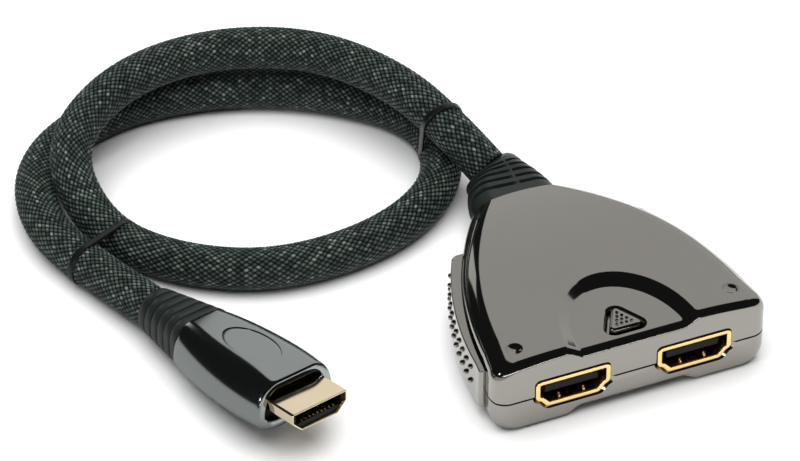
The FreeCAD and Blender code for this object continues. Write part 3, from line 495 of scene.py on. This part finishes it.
def shell_skin(half, inset, edge_z):
    """One skin of a half shell: rows from the port face back, columns from edge to edge over it."""
    turns = np.radians(np.linspace(0, 90, 13))[1:-1]
    flat = np.linspace(-1, 1, top_steps)
    side, bent = np.ones(side_steps + 1), np.ones(len(turns))
    hold = np.concatenate([-side, -bent, flat, bent, side])
    swing = np.concatenate([-side, -np.cos(turns), 0 * flat, np.cos(turns[::-1]), side])
    climb = np.concatenate([0 * side, np.sin(turns), 0 * flat + 1, np.sin(turns[::-1]), 0 * side])
    lift = np.concatenate([np.linspace(0, 1, side_steps + 1), bent, 0 * flat + 1, bent,
                           np.linspace(1, 0, side_steps + 1)])
    if inset == 0:
        bend = np.radians(np.linspace(0, 90, 12))
        y = np.concatenate([front_round * (1 - np.cos(bend)), np.arange(front_round + 0.35, top_flat, 0.35),
                            np.linspace(top_flat, case_length, 34)])
        draw = np.concatenate([front_round * (1 - np.sin(bend)), np.zeros(len(y) - len(bend))])
    else:
        y = np.linspace(inset, case_length - inset, 60)
        draw = np.full(len(y), float(inset))
    y, draw = y[:, None], draw[:, None]
    radius = edge_round - draw
    blend = np.clip((y - bulge_y) / (case_length - bulge_y), 0, 1) ** 2
    at = y + 0 * hold
    for _ in range(12):
        x = hold * (side_line(at) - draw - radius) + swing * radius
        at = y - blend * (rear_arc - np.sqrt(rear_arc ** 2 - np.clip(np.abs(x), 0, rear_arc * 0.9) ** 2))
    if half > 0:
        level = case_height - bent_line(at, top_flat, case_height - rear_top)
    else:
        level = bent_line(at, under_flat, rear_under)
    shoulder = level - half * (draw + radius)
    z = edge_z + lift * (shoulder - edge_z) + half * climb * radius
    z = z - half * dish_depth(x, at, dish_depths[half], inset) * (climb == 1)
    if half > 0 and inset == 0:
        z = z - climb * corner_drop(np.minimum(np.abs(x), side_line(at) - draw - radius), at)
    return np.stack([x, at, z], axis=-1)


def shell_mesh(half):
    """A half shell: outer and inner skin, front and rear walls and the rim between them."""
    edge_z = parting if half > 0 else parting - seam_width
    vertices, faces, loops = [], [], []
    first = side_steps + 1
    for skin in (shell_skin(half, 0, edge_z), shell_skin(half, wall, parting)):
        rows, across = skin.shape[:2]
        start = len(vertices)
        vertices += skin.reshape(-1, 3).tolist()
        index = start + np.arange(rows * across).reshape(rows, across)
        quads = np.stack([index[:-1, :-1], index[:-1, 1:], index[1:, 1:], index[1:, :-1]], axis=-1)
        faces += quads.reshape(-1, 4).tolist()
        faces.append(index[0].tolist())
        last = index[-1]
        ground = {}
        for i in range(first, across - first):
            ground[i] = len(vertices)
            vertices.append([skin[-1, i, 0], skin[-1, i, 1], skin[-1, 0, 2]])
        for i in range(first, across - first - 1):
            faces.append([last[i], last[i + 1], ground[i + 1], ground[i]])
        faces.append(last[:first + 1].tolist() + [ground[first]])
        faces.append([ground[across - first - 1]] + last[across - first - 1:].tolist())
        loops.append((index[:, 0].tolist(), list(ground.values()), index[::-1, -1].tolist()))
    if half < 0:
        middle = case_length / 2
        steps = []
        for z in (edge_z, parting):
            runs = []
            for run in loops[0]:
                runs.append(list(range(len(vertices), len(vertices) + len(run))))
                for x, y, _ in [vertices[i] for i in run]:
                    vertices.append([x * (1 - seam_depth / case_half_width),
                                     middle + (y - middle) * (1 - seam_depth / middle), z])
            steps.append(runs)
        loops = [loops[0], *steps, loops[1]]
    for outer, inner in zip(loops[:-1], loops[1:]):
        one, two = [i for run in outer for i in run], [i for run in inner for i in run]
        if len(one) == len(two):
            count = len(one)
            faces += [[one[i], one[(i + 1) % count], two[(i + 1) % count], two[i]] for i in range(count)]
            continue
        for run, partner in zip(outer, inner):
            shares = []
            for line in (run, partner):
                run_along = runs_along([vertices[i] for i in line])
                shares.append(run_along / run_along[-1])
            at = 0
            for i in range(len(run) - 1):
                nearest = int(np.abs(shares[1] - shares[0][i + 1]).argmin())
                goal = max(nearest if i < len(run) - 2 else len(partner) - 1, at)
                faces.append([run[i], run[i + 1]] + [partner[k] for k in range(goal, at - 1, -1)])
                at = goal
        for one, after, two, beyond in zip(outer, outer[1:] + outer[:1], inner, inner[1:] + inner[:1]):
            faces.append([one[-1], after[0], beyond[0], two[-1]])
    mesh = bpy.data.meshes.new("shell")
    mesh.from_pydata(placed(vertices).tolist(), [], faces)
    return smoothed(mesh, 35)


def rounded_outline(core, grow, steps=6):
    """A polygon, counter-clockwise, grown by a radius: outer corners turn round, inner ones stay."""
    core = np.array(core, float)
    ahead = np.roll(core, -1, axis=0) - core
    normal = np.stack([ahead[:, 1], -ahead[:, 0]], axis=1) / np.linalg.norm(ahead, axis=1)[:, None]
    points = []
    for corner, after, before in zip(core, normal, np.roll(normal, 1, axis=0)):
        total = before + after
        if grow > 0 and before[0] * after[1] - before[1] * after[0] > 0:
            start = math.atan2(before[1], before[0])
            sweep = math.acos(max(-1, min(1, before.dot(after))))
            for turn in (start + sweep * k / steps for k in range(steps + 1)):
                points.append(corner + grow * np.array((math.cos(turn), math.sin(turn))))
        else:
            points.append(corner + total * 2 * grow / total.dot(total))
    return np.array(points)


def rounded_box(a, b, corner, steps=6):
    """The outline of a rounded rectangle, from half of its width and height without the corners."""
    return rounded_outline(((-a, -b), (a, -b), (a, b), (-a, b)), corner, steps)


def circle_outline(x, y, radius, count=48):
    turn = np.arange(count) / count * 2 * math.pi
    return np.stack([x + radius * np.cos(turn), y + radius * np.sin(turn)], axis=-1)


def along_y(outline, y):
    return np.stack([outline[:, 0], np.full(len(outline), float(y)), outline[:, 1]], axis=-1)


def along_z(outline, z):
    return np.stack([outline[:, 0], outline[:, 1], np.full(len(outline), float(z))], axis=-1)


def carved(mesh, *cutters):
    """The mesh with the cutters' shapes taken out of it."""
    holder = added("carving", mesh)
    tools = [added("cutter", cutter) for cutter in cutters]
    for tool in tools:
        cut = holder.modifiers.new("cut", "BOOLEAN")
        cut.operation = "DIFFERENCE"
        cut.solver = "EXACT"
        cut.object = tool
    graph = bpy.context.evaluated_depsgraph_get()
    result = bpy.data.meshes.new_from_object(holder.evaluated_get(graph))
    for thing in tools + [holder]:
        old = thing.data
        bpy.data.objects.remove(thing)
        bpy.data.meshes.remove(old)
    result.set_sharp_from_angle(angle=math.radians(35))
    return result


def cutter(rings):
    return grid_mesh(placed(rings))


def mouth_cutter(side, rings, shift=0.0):
    """A cutter in the shape of a socket's mouth; what lies before the port face can be shifted."""
    return cutter([along_y(rounded_outline(socket_mouth, grow) + (side * socket_x + shift * (y < 0), socket_z), y)
                   for grow, y in rings])


def grip_pocket(side):
    y = np.linspace(grip_front - grip_gap, grip_rear + grip_gap, 40)
    inner = np.stack([side_line(y, -pocket_inset), y], axis=-1)
    outer = np.stack([side_line(y, pocket_reach), y], axis=-1)[::-1]
    outline = np.concatenate([inner, outer]) * (side, 1)
    return cutter([along_z(outline, z) for z in (grip_low - grip_gap, grip_high + grip_gap)])


def rear_hole():
    neck = rounded_box(neck_half_x, neck_half_z, neck_corner) + (0, neck_z)
    return cutter([along_y(neck, y) for y in (50, 57)])


mouth_fit = socket_lip + socket_gap
mouths = [mouth_cutter(side, ((mouth_fit, -2), (mouth_fit, 3))) for side in (-1, 1)]
relief_rings = ((mouth_fit + socket_relief + 0.2, -0.2), (mouth_fit, socket_relief), (mouth_fit, 3))
reliefs = [mouth_cutter(side, relief_rings, relief_shift) for side in (-1, 1)]
lamp_holes = [cutter([along_z(circle_outline(side * lamp_x, lamp_y, lamp_radius + lamp_gap), z)
                      for z in (12, 19)]) for side in (-1, 1)]
button_hole = cutter([along_z(rounded_outline(button_core, button_corner + grow), z) for grow, z in (
    (button_gap, 11), (button_gap, 14.5), (button_gap + 0.2, 14.95), (button_gap + button_bevel, 15.45),
    (button_gap + 1.2, 15.9))])
screw_holes = [cutter([along_z(circle_outline(x, y, screw_hole_radius), z) for z in (-2, 1.45)])
               for x, y in screw_places]

gunmetal = finish("gunmetal_lacquer", (0.30, 0.287, 0.262), (0.28, 0.268, 0.245), 0.09, 1.0, 2500, 45, 0.015,
                  0.025)
top_skin = carved(shell_mesh(1), *mouths, rear_hole(), grip_pocket(-1), grip_pocket(1), *lamp_holes, button_hole)
piece("case_top", top_skin, gunmetal, "housing", "case", "top_shell")
under_skin = carved(shell_mesh(-1), *reliefs, rear_hole(), grip_pocket(-1), grip_pocket(1), *screw_holes)
piece("case_bottom", under_skin, gunmetal, "housing", "case", "bottom_shell")


# Finger grips: one curved pad per side in the same lacquer, pressed into a pocket that spans
# both shells, with two rows of eleven small ball nubs.
grip_end_round, grip_edge_round = 0.9, 0.22
grip_proud = np.polyfit((grip_front, 23.5, grip_rear), (1.2, 1.85, 2.05), 2)
nub_count, nub_first, nub_pitch, nub_rows, nub_radius, nub_lift = 11, 11.6, 2.71, (9.3, 5.9), 0.55, 0.1
both_sides = ((-1, "left"), (1, "right"))


def with_balls(mesh, places, radius, detail, sharp, stretch=(1, 1, 1)):
    """The mesh with a small ball at each place."""
    shape = bmesh.new()
    shape.from_mesh(mesh)
    for place in places:
        spot = Matrix.Translation(placed(place)) @ Matrix.Diagonal((*stretch, 1))
        bmesh.ops.create_icosphere(shape, subdivisions=detail, radius=radius * mm, matrix=spot)
    shape.to_mesh(mesh)
    shape.free()
    return smoothed(mesh, sharp)


def grip_mesh(side):
    ends = np.radians(np.linspace(0, 90, 8))
    run_in = grip_front + grip_end_round * (1 - np.cos(ends))
    run_out = grip_front + grip_rear - run_in[::-1]
    straight = np.linspace(run_in[-1], run_out[0], 80)[1:-1]
    held = grip_end_round * (1 - np.sin(ends))
    turn = np.radians(np.linspace(0, 90, 6))
    inward, along = grip_edge_round * (1 - np.sin(turn)), grip_edge_round * (1 - np.cos(turn))
    rows = []
    for y, less in zip(np.concatenate([run_in, straight, run_out]),
                       np.concatenate([held, 0 * straight, held[::-1]])):
        inner, outer = side_line(y, -grip_inset), side_line(y, np.polyval(grip_proud, y)) - less
        section = [(inner, grip_low), *zip(outer - inward, grip_low + along),
                   *zip(outer - along, grip_high - inward), (inner, grip_high)]
        rows.append([(side * x, y, z) for x, z in section])
    nubs = []
    for y in nub_first + nub_pitch * np.arange(nub_count):
        nubs += [(side * (side_line(y, np.polyval(grip_proud, y)) + nub_lift), y, z) for z in nub_rows]
    return with_balls(grid_mesh(placed(rows), sharp=30), nubs, nub_radius, 4, 30)


for side, word in both_sides:
    piece("grip_" + word, grip_mesh(side), gunmetal, "housing", "case", "side_grip_" + word)


# The two sockets: drawn metal shells plated with gold, with a flat lip round the mouth, two
# spring fingers in the lower wall and a black plastic tongue with gold contacts inside.
mouth_round, finger_x, finger_y, finger_drop, finger_radius = 0.25, 2.6, 1.3, 2.2, 0.5
finger_stretch = (0.75, 2.2, 1.7)
socket_rings = ((0, 10.6), (0, -0.2), (0.04, -0.3), (0.14, -0.35), (0.8, -0.35), (0.9, -0.31),
                (socket_lip, -0.2), (socket_lip, 1.25), (0.4, 1.25), (0.4, 11.0))


def socket_mesh(side):
    core = rounded_outline(socket_mouth, -mouth_round)
    rings = [along_y(rounded_outline(core, mouth_round + grow) + (side * socket_x, socket_z), y)
             for grow, y in socket_rings]
    fingers = [(side * socket_x + offset, finger_y, socket_z - finger_drop) for offset in (-finger_x, finger_x)]
    return with_balls(grid_mesh(placed(rings), sharp=50), fingers, finger_radius, 3, 50, finger_stretch)


def dress(material, *nodes):
    """Gives a material to solids that stay as they are."""
    for node in nodes:
        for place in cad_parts[node].material_slots:
            place.material = material


gold = finish("gold_plate", (0.92, 0.68, 0.30), (0.86, 0.60, 0.25), 0.16, 1.0, 2500, 120, 0.04, 0.04)
socket_plastic = finish("socket_plastic", (0.010, 0.009, 0.008), (0.006, 0.005, 0.005), 0.55, 0.0, 3500, 150,
                        0.25, specular=0.2)
for side, word in both_sides:
    piece("socket_ring_" + word, socket_mesh(side), gold, "housing", "gold", word + "_socket_shell")
    dress(socket_plastic, word + "_socket_tongue")
    dress(gold, word + "_socket_contacts")


# Port lamps: half-mirrored windows over the light pipes, one above each socket's outer end,
# flush with the top round the rim and dished in the middle.
lamp_dish, lamp_rim, lamp_base = 0.42, 0.04, 13.5


def lamp_window(side):
    rings = []
    for radius in (0.05, 0.4, 0.8, 1.2, 1.5, lamp_radius):
        ring = along_z(circle_outline(side * lamp_x, lamp_y, radius), 0)
        ring[:, 2] = (case_height - corner_drop(ring[:, 0], ring[:, 1])
                      - lamp_dish * (1 - (radius / lamp_radius) ** 2) - (lamp_rim if radius == lamp_radius else 0))
        rings.append(ring)
    rings += [along_z(circle_outline(side * lamp_x, lamp_y, radius), lamp_base)
              for radius in (lamp_radius, 0.05)]
    return grid_mesh(placed(rings), sharp=60)


smoked_mirror = finish("smoked_mirror", (0.29, 0.277, 0.252), (0.26, 0.25, 0.228), 0.1, 1.0, 2500, 200, 0.02,
                       0.03)
for side, word in both_sides:
    piece("lamp_window_" + word, lamp_window(side), smoked_mirror, "housing", "dark_window",
          word + "_light_pipe")


# The select button: a rounded triangle in the same lacquer that stands a little proud of the
# dish, with rows of one to four nubs, a flange under the shell and a stem on the push switch.
button_top, button_nub, button_nub_x, button_nub_y, button_nub_back = 15.9, 0.34, 1.05, 1.1, 8.1
stem_radius, stem_length, stem_place = 2.4, 2.6, (0, 6.5, 11.65)


def button_mesh():
    rings = [along_z(rounded_outline(button_core, button_corner + grow), z) for grow, z in (
        (0.8, 12.95), (0.8, 13.85), (0, 13.85), (0, button_top - 0.75), (-0.04, button_top - 0.5),
        (-0.13, button_top - 0.27), (-0.27, button_top - 0.11), (-0.43, button_top - 0.025), (-0.6, button_top))]
    mesh = grid_mesh(placed(rings), sharp=40)
    shape = bmesh.new()
    shape.from_mesh(mesh)
    bmesh.ops.create_cone(shape, cap_ends=True, segments=40, radius1=stem_radius * mm, radius2=stem_radius * mm,
                          depth=stem_length * mm, matrix=Matrix.Translation(placed(stem_place)))
    shape.to_mesh(mesh)
    shape.free()
    nubs = [((i - row / 2) * button_nub_x, button_nub_back - row * button_nub_y, button_top)
            for row in range(4) for i in range(row + 1)]
    return with_balls(mesh, nubs, button_nub, 3, 35)


piece("button_cap", button_mesh(), gunmetal, "button", "case", "select_button")


# The box's boot: moulded black rubber, flat and oval at the case and round at the cable, with
# five grooves that a spine crosses on top. Its neck is held in the rear wall.
boot_stations = (0, 1, 2, 3.5, 5, 6.5, 8, 9.5, 11, 13.7)
boot_half_widths = (9.2, 9.25, 9.2, 8.95, 8.6, 8.15, 7.6, 7.1, 6.7, 6.3)
boot_half_height, boot_corner, boot_end, boot_blend = 4.8, 4.2, 5.9, 11
boot_pull, boot_step, boot_end_round, boot_end_draw, boot_fall, boot_fall_run = 5.0, 0.11, 1.7, 1.3, 1.7, 7
groove_count, groove_first, groove_pitch, groove_depth = 5, 2.5, 2.0, 0.75
groove_half, groove_slope = 0.45, 0.2
spine_x, spine_half, spine_slope = 1.2, 0.55, 0.25


def even_outline(outline, count):
    """The same closed outline in even steps."""
    closed = np.concatenate([outline, outline[:1]])
    run = runs_along(closed)
    at = np.arange(count) / count * run[-1]
    return np.stack([np.interp(at, run, closed[:, k]) for k in range(2)], axis=-1)


def boot_mesh():
    exit_point = np.array(cable_route[0])
    leave = np.array(cable_route[1]) - exit_point
    seam = np.array((0, case_length, neck_z))
    away = seam + (0, boot_pull, 0)
    near = exit_point - leave / np.linalg.norm(leave) * boot_pull
    length = exit_point[1] - case_length
    end = length - boot_end_round
    rows = []
    for distance in np.concatenate([[-0.5], np.arange(0, end, boot_step),
                                    end + boot_end_round * np.sin(np.radians(np.arange(0, 91, 15)))]):
        t = max(distance, 0) / length
        centre = (seam * (1 - t) ** 3 + away * 3 * (1 - t) ** 2 * t + near * 3 * (1 - t) * t ** 2
                  + exit_point * t ** 3)
        along = (away - seam) * (1 - t) ** 2 + (near - away) * 2 * (1 - t) * t + (exit_point - near) * t ** 2
        along /= np.linalg.norm(along)
        if distance < 0:
            centre, along = seam + (0, distance, 0), np.array((0, 1.0, 0))
        right = np.cross(along, (0, 0, 1))
        right /= np.linalg.norm(right)
        up = np.cross(right, along)
        blend = np.clip(distance / boot_blend, 0, 1) ** 2
        half_width = np.interp(distance, boot_stations, boot_half_widths)
        half_height = boot_half_height + (boot_end - boot_half_height) * blend
        corner = min(boot_corner + (boot_end - boot_corner) * blend, half_height - 0.06)
        outline = even_outline(rounded_box(half_width - corner, half_height - corner, corner, 24), 168)
        gap = min(abs(distance - (groove_first + groove_pitch * groove)) for groove in range(groove_count))
        sink = min(1, max(0, (groove_half - gap) / groove_slope))
        sink = sink * sink * (3 - 2 * sink) * groove_depth
        spine = np.clip((spine_half - np.abs(outline[:, 0] - spine_x)) / spine_slope, 0, 1) * (outline[:, 1] > 0)
        lowered = max(0, distance - length + boot_fall_run) / boot_fall_run
        rounded = max(0, distance - end) / boot_end_round
        drop = (sink * (1 - spine) + boot_fall * lowered ** 2 * np.clip(outline[:, 1] / half_height, 0, 1) ** 2
                + boot_end_draw * (1 - math.sqrt(max(0, 1 - rounded ** 2))))
        outline = outline * (1 - drop / np.linalg.norm(outline, axis=1))[:, None]
        row = centre + outline[:, :1] * right + outline[:, 1:] * up
        wrap = rear_arc - np.sqrt(rear_arc ** 2 - np.clip(row[:, 0], -rear_corner_x, rear_corner_x) ** 2)
        row[:, 1] -= wrap * max(0, 1 - max(0, distance) / 2)
        rows.append(row)
    return grid_mesh(placed(rows), sharp=60)


boot_rubber = finish("boot_rubber", (0.015, 0.020, 0.018), (0.008, 0.011, 0.010), 0.4, 0.0, 2500, 90, 0.2, 0.06,
                     specular=0.35)
piece("boot_on_box", boot_mesh(), boot_rubber, "housing", "boot_rubber", "housing_boot")


# The plug, drawn from its tip towards the cable and laid on the cable's last run: a lacquered
# cover over a moulded core, a gold-plated shell with a black insert, and an inset blank badge.
plug_length, sleeve_in_boot = 51.5, 2.2
plug_roll = math.radians(5)
cover_front, cover_rear, cover_widest, cover_flatter = 7.1, 35.0, -1.4, 0.4
cover_stations = (7.1, 10.0, 18.0, 27.0, 36.5)
cover_half_width = np.polyfit(cover_stations, (9.5, 9.9, 10.1, 9.2, 7.1), 4)
cover_half_height = np.polyfit(cover_stations, (5.5, 5.85, 6.0, 5.85, 5.35), 4)
cover_corner = np.polyfit(cover_stations, (5.0, 5.6, 6.0, 5.6, 4.9), 4)
cover_lip = ((2.4, 1.95), (0.5, 1.9), (0.15, 1.8), (0.02, 1.6), (0, 0.6), (0.1, 0.28), (0.3, 0.08), (0.6, 0.0))
badge_y, badge_long, badge_short = 20.0, 7.5, 4.0
plug_outline = ((-6.95, 2.225), (-6.95, 0), (-4.6, -2.225), (4.6, -2.225), (6.95, 0), (6.95, 2.225))
plug_mouth_round = 0.5
plug_rings = ((-0.35, 12), (-0.35, 0.12), (-0.3, 0.03), (-0.2, 0), (-0.12, 0), (-0.03, 0.05), (0, 0.15),
              (0, 12))
slot_z, slot_half, tooth_pitch, tooth_root, tooth_tip = 0.35, 1.05, 1.0, 0.25, 0.21
tooth_slope = ((0.62, 0.1), (0.95, 0.34), (2.2, 0.42), (8.0, 0.1))

arrive = Vector(cable_route[-1]) - Vector(cable_route[-2])
arrive.normalize()
plug_tip = Vector(cable_route[-1]) + arrive * (plug_length - sleeve_in_boot)
plug_turn = (Matrix.Rotation(math.atan2(arrive.x, -arrive.y), 3, "Z")
             @ Matrix.Rotation(math.asin(-arrive.z), 3, "X") @ Matrix.Rotation(plug_roll, 3, "Y"))


def on_plug(points):
    """Points in the plug's own frame, in millimetres, as places in the frame in metres."""
    return placed(np.asarray(points, float) @ np.array(plug_turn).T + np.array(plug_tip))


def cover_ring(y, inset):
    corner, half_width, half_height = (np.polyval(size, y) - inset
                                       for size in (cover_corner, cover_half_width, cover_half_height))
    turn = np.radians(np.linspace(0, 90, 25))
    across = half_width - corner + corner * np.cos(turn)
    over = cover_widest + (half_height - cover_widest) * np.sin(turn)
    under = cover_widest - (half_height - cover_flatter + cover_widest) * np.sin(turn)
    upper, lower = np.stack([across, over], axis=-1), np.stack([across, under], axis=-1)
    return along_y(np.concatenate([upper, upper[::-1] * (-1, 1), lower * (-1, 1), lower[::-1]]), y)


def badge_patch(grow, top, bottom, edge):
    """An oval patch that follows the cover, from one height over its surface to another."""
    reach = np.array((badge_short + grow, badge_long + grow))
    circle = circle_outline(0, 0, 1, 96)
    rings = [(circle * reach * share, top) for share in (0.02, 0.3, 0.6, 0.85)]
    rings += [(circle * (reach - edge * (1 - math.sin(bend))), top - edge * (1 - math.cos(bend)))
              for bend in np.radians(np.linspace(0, 90, 5))]
    rings += [(circle * reach * share, bottom) for share in (1, 0.85, 0.3, 0.02)]
    rows = []
    for flat, lift in rings:
        y = flat[:, 1] + badge_y
        rows.append(np.stack([flat[:, 0], y, np.polyval(cover_half_height, y) + lift], axis=-1))
    return grid_mesh(on_plug(rows), sharp=40)


def plug_shell_mesh():
    core = rounded_outline(plug_outline, -plug_mouth_round)
    rings = [along_y(rounded_outline(core, plug_mouth_round + grow), y) for grow, y in plug_rings]
    return grid_mesh(on_plug(rings), sharp=45)


def contact_teeth():
    """Two rows of flat spring contacts in the slot, with their front ends sloped back."""
    shape = bmesh.new()
    for count, wall_z, inward in ((10, slot_z + slot_half, -1), (9, slot_z - slot_half, 1)):
        for i in range(count):
            x = (i - (count - 1) / 2) * tooth_pitch
            rows = []
            for y, deep in tooth_slope:
                tip_z = wall_z + inward * deep
                section = [(x + across, y, z) for across, z in (
                    (-tooth_root, wall_z), (tooth_root, wall_z), (tooth_tip, tip_z), (-tooth_tip, tip_z))]
                rows.append([shape.verts.new(corner) for corner in on_plug(section)])
            for one, two in zip(rows[:-1], rows[1:]):
                for k in range(4):
                    shape.faces.new((one[k], one[(k + 1) % 4], two[(k + 1) % 4], two[k]))
            shape.faces.new(rows[0][::-1])
            shape.faces.new(rows[-1])
    mesh = bpy.data.meshes.new("teeth")
    shape.to_mesh(mesh)
    shape.free()
    return smoothed(mesh, 25)


cover_metal = finish("cover_lacquer", (0.31, 0.335, 0.33), (0.295, 0.32, 0.315), 0.14, 1.0, 2500, 45, 0.02,
                     0.03)
plug_gold = finish("pale_gold_plate", (0.93, 0.80, 0.58), (0.88, 0.73, 0.50), 0.16, 1.0, 2500, 120, 0.04, 0.04)
cover_rings = [cover_ring(cover_front + back, inset) for back, inset in cover_lip]
cover_rings += [cover_ring(y, 0) for y in np.linspace(cover_front + 0.9, cover_rear - 0.5, 60)]
cover_rings += [cover_ring(cover_rear - 0.15, 0.05), cover_ring(cover_rear, 0.3), cover_ring(cover_rear, 1.4)]
cover_skin = carved(grid_mesh(on_plug(cover_rings), sharp=40), badge_patch(0.08, 3.0, -0.34, 0.05))
cover = piece("plug_cover_body", cover_skin, cover_metal, "housing", "cover", "plug_cover")
badge = piece("plug_badge_plate", badge_patch(0.0, -0.16, -0.32, 0.04), cover_metal, "housing", "cover",
              "plug_badge")
plug_metal = piece("plug_metal_shell", plug_shell_mesh(), plug_gold, "housing", "gold", "plug_shell")
face_rings = [cover_ring(cover_front + back, 1.9) for back in (2.1, 2.5)]
face_plate = piece("plug_face_plate", grid_mesh(on_plug(face_rings)), socket_plastic, "housing",
                   "black_plastic")
dress(socket_plastic, "plug_insulator", "plug_core")
teeth = piece("plug_teeth", contact_teeth(), gold, "housing", "gold", "plug_contacts")


# The plug's boot: six tapered rings of black rubber, each lapping over the next one behind it.
# It is moulded over the cover's rear end, and the cable's sleeve ends inside it.
boot_ring_count = 6
ring_half_width, ring_narrowing, ring_half_height, ring_lowering = 6.9, 2.1, 5.1, 0.35
ring_corner, ring_rounding, ring_corner_most = 3.4, 1.35, 4.69
boot_ring_profile = ((0.0, 0.22), (0.03, 0.06), (0.09, 0.0), (0.5, 0.02), (0.9, 0.08), (0.97, 0.2))


def plug_boot_mesh():
    rear = plug_length - sleeve_in_boot
    rows = [along_y(rounded_box(2.9, 0.9, 3.0, 20), cover_rear - 0.4)]
    for k in range(boot_ring_count):
        for local, sink in boot_ring_profile:
            share = (k + local) / boot_ring_count
            half_width = ring_half_width - ring_narrowing * share - sink
            half_height = ring_half_height - ring_lowering * share - sink
            corner = min(ring_corner + ring_rounding * share, ring_corner_most) - sink
            outline = rounded_box(half_width - corner, max(half_height - corner, 0.01), corner, 20)
            rows.append(along_y(outline, cover_rear + (rear - cover_rear) * share))
    rows.append(along_y(rounded_box(0.01, 0.01, 4.2, 20), rear))
    return grid_mesh(on_plug(rows), sharp=50)


plug_boot = piece("boot_on_plug", plug_boot_mesh(), boot_rubber, "housing", "boot_rubber", "plug_boot")


# Inside: a green board with its chip, small parts and lamps, the push switch, the cable's end
# with a crimped ferrule and five insulated wires, and three plain steel screws.
steel = finish("screw_steel", (0.62, 0.62, 0.61), (0.5, 0.5, 0.5), 0.3, 1.0, 3000, 500, 0.2)
dress(steel, "case_screws")
dress(socket_plastic, "switch_plunger")
for nodes, look in (
    (("circuit_board",), ("board_lacquer", (0.02, 0.14, 0.06), (0.012, 0.09, 0.04), 0.3, 0.0, 3000, 400, 0.15)),
    (("switch_chip", "board_components", "push_switch_body"),
     ("chip_resin", (0.03, 0.03, 0.032), (0.02, 0.02, 0.021), 0.5, 0.0, 4000, 300, 0.3)),
    (("port_leds",), ("lamp_resin", (0.9, 0.88, 0.8), (0.8, 0.78, 0.7), 0.2, 0.0, 3000, 400, 0.05)),
    (("crimp_ferrule",), ("crimped_brass", (0.68, 0.56, 0.34), (0.55, 0.44, 0.26), 0.34, 1.0, 1500, 300, 0.5)),
    (("cable_tail", "plug_cable_tail"),
     ("jacket_rubber", (0.02, 0.02, 0.02), (0.012, 0.012, 0.012), 0.55, 0.0, 3000, 150, 0.3)),
    (("inner_wires",), ("wire_insulation", (0.5, 0.08, 0.06), (0.4, 0.05, 0.04), 0.3, 0.0, 3000, 200, 0.1)),
):
    dress(finish(*look), *nodes)


# The snap dome: a thin round spring-steel cap that stands on its rim inside the push switch, drawn at rest.
# In the real switch, pressing the button flattens it onto that rim.
dome_low, dome_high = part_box("switch_dome")
dome_middle, dome_rise = (dome_low + dome_high) / 2, dome_high.z - dome_low.z
dome_radius, dome_sheet = 1.9 * mm, 0.15 * mm


def dome_mesh():
    sphere = (dome_radius ** 2 + dome_rise ** 2) / (2 * dome_rise)
    rows = []
    for ball, order in ((sphere, 1), (sphere - dome_sheet, -1)):
        rim = math.sqrt(ball ** 2 - (sphere - dome_rise) ** 2)
        for radius in np.linspace(0.02 * mm, rim, 14)[::order]:
            rows.append(along_z(circle_outline(dome_middle.x, dome_middle.y, radius),
                                dome_high.z - sphere + math.sqrt(ball ** 2 - radius ** 2)))
    return grid_mesh(rows, sharp=50)


dome = piece("snap_dome", dome_mesh(), steel, "housing", "steel", "switch_dome")
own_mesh(dome)
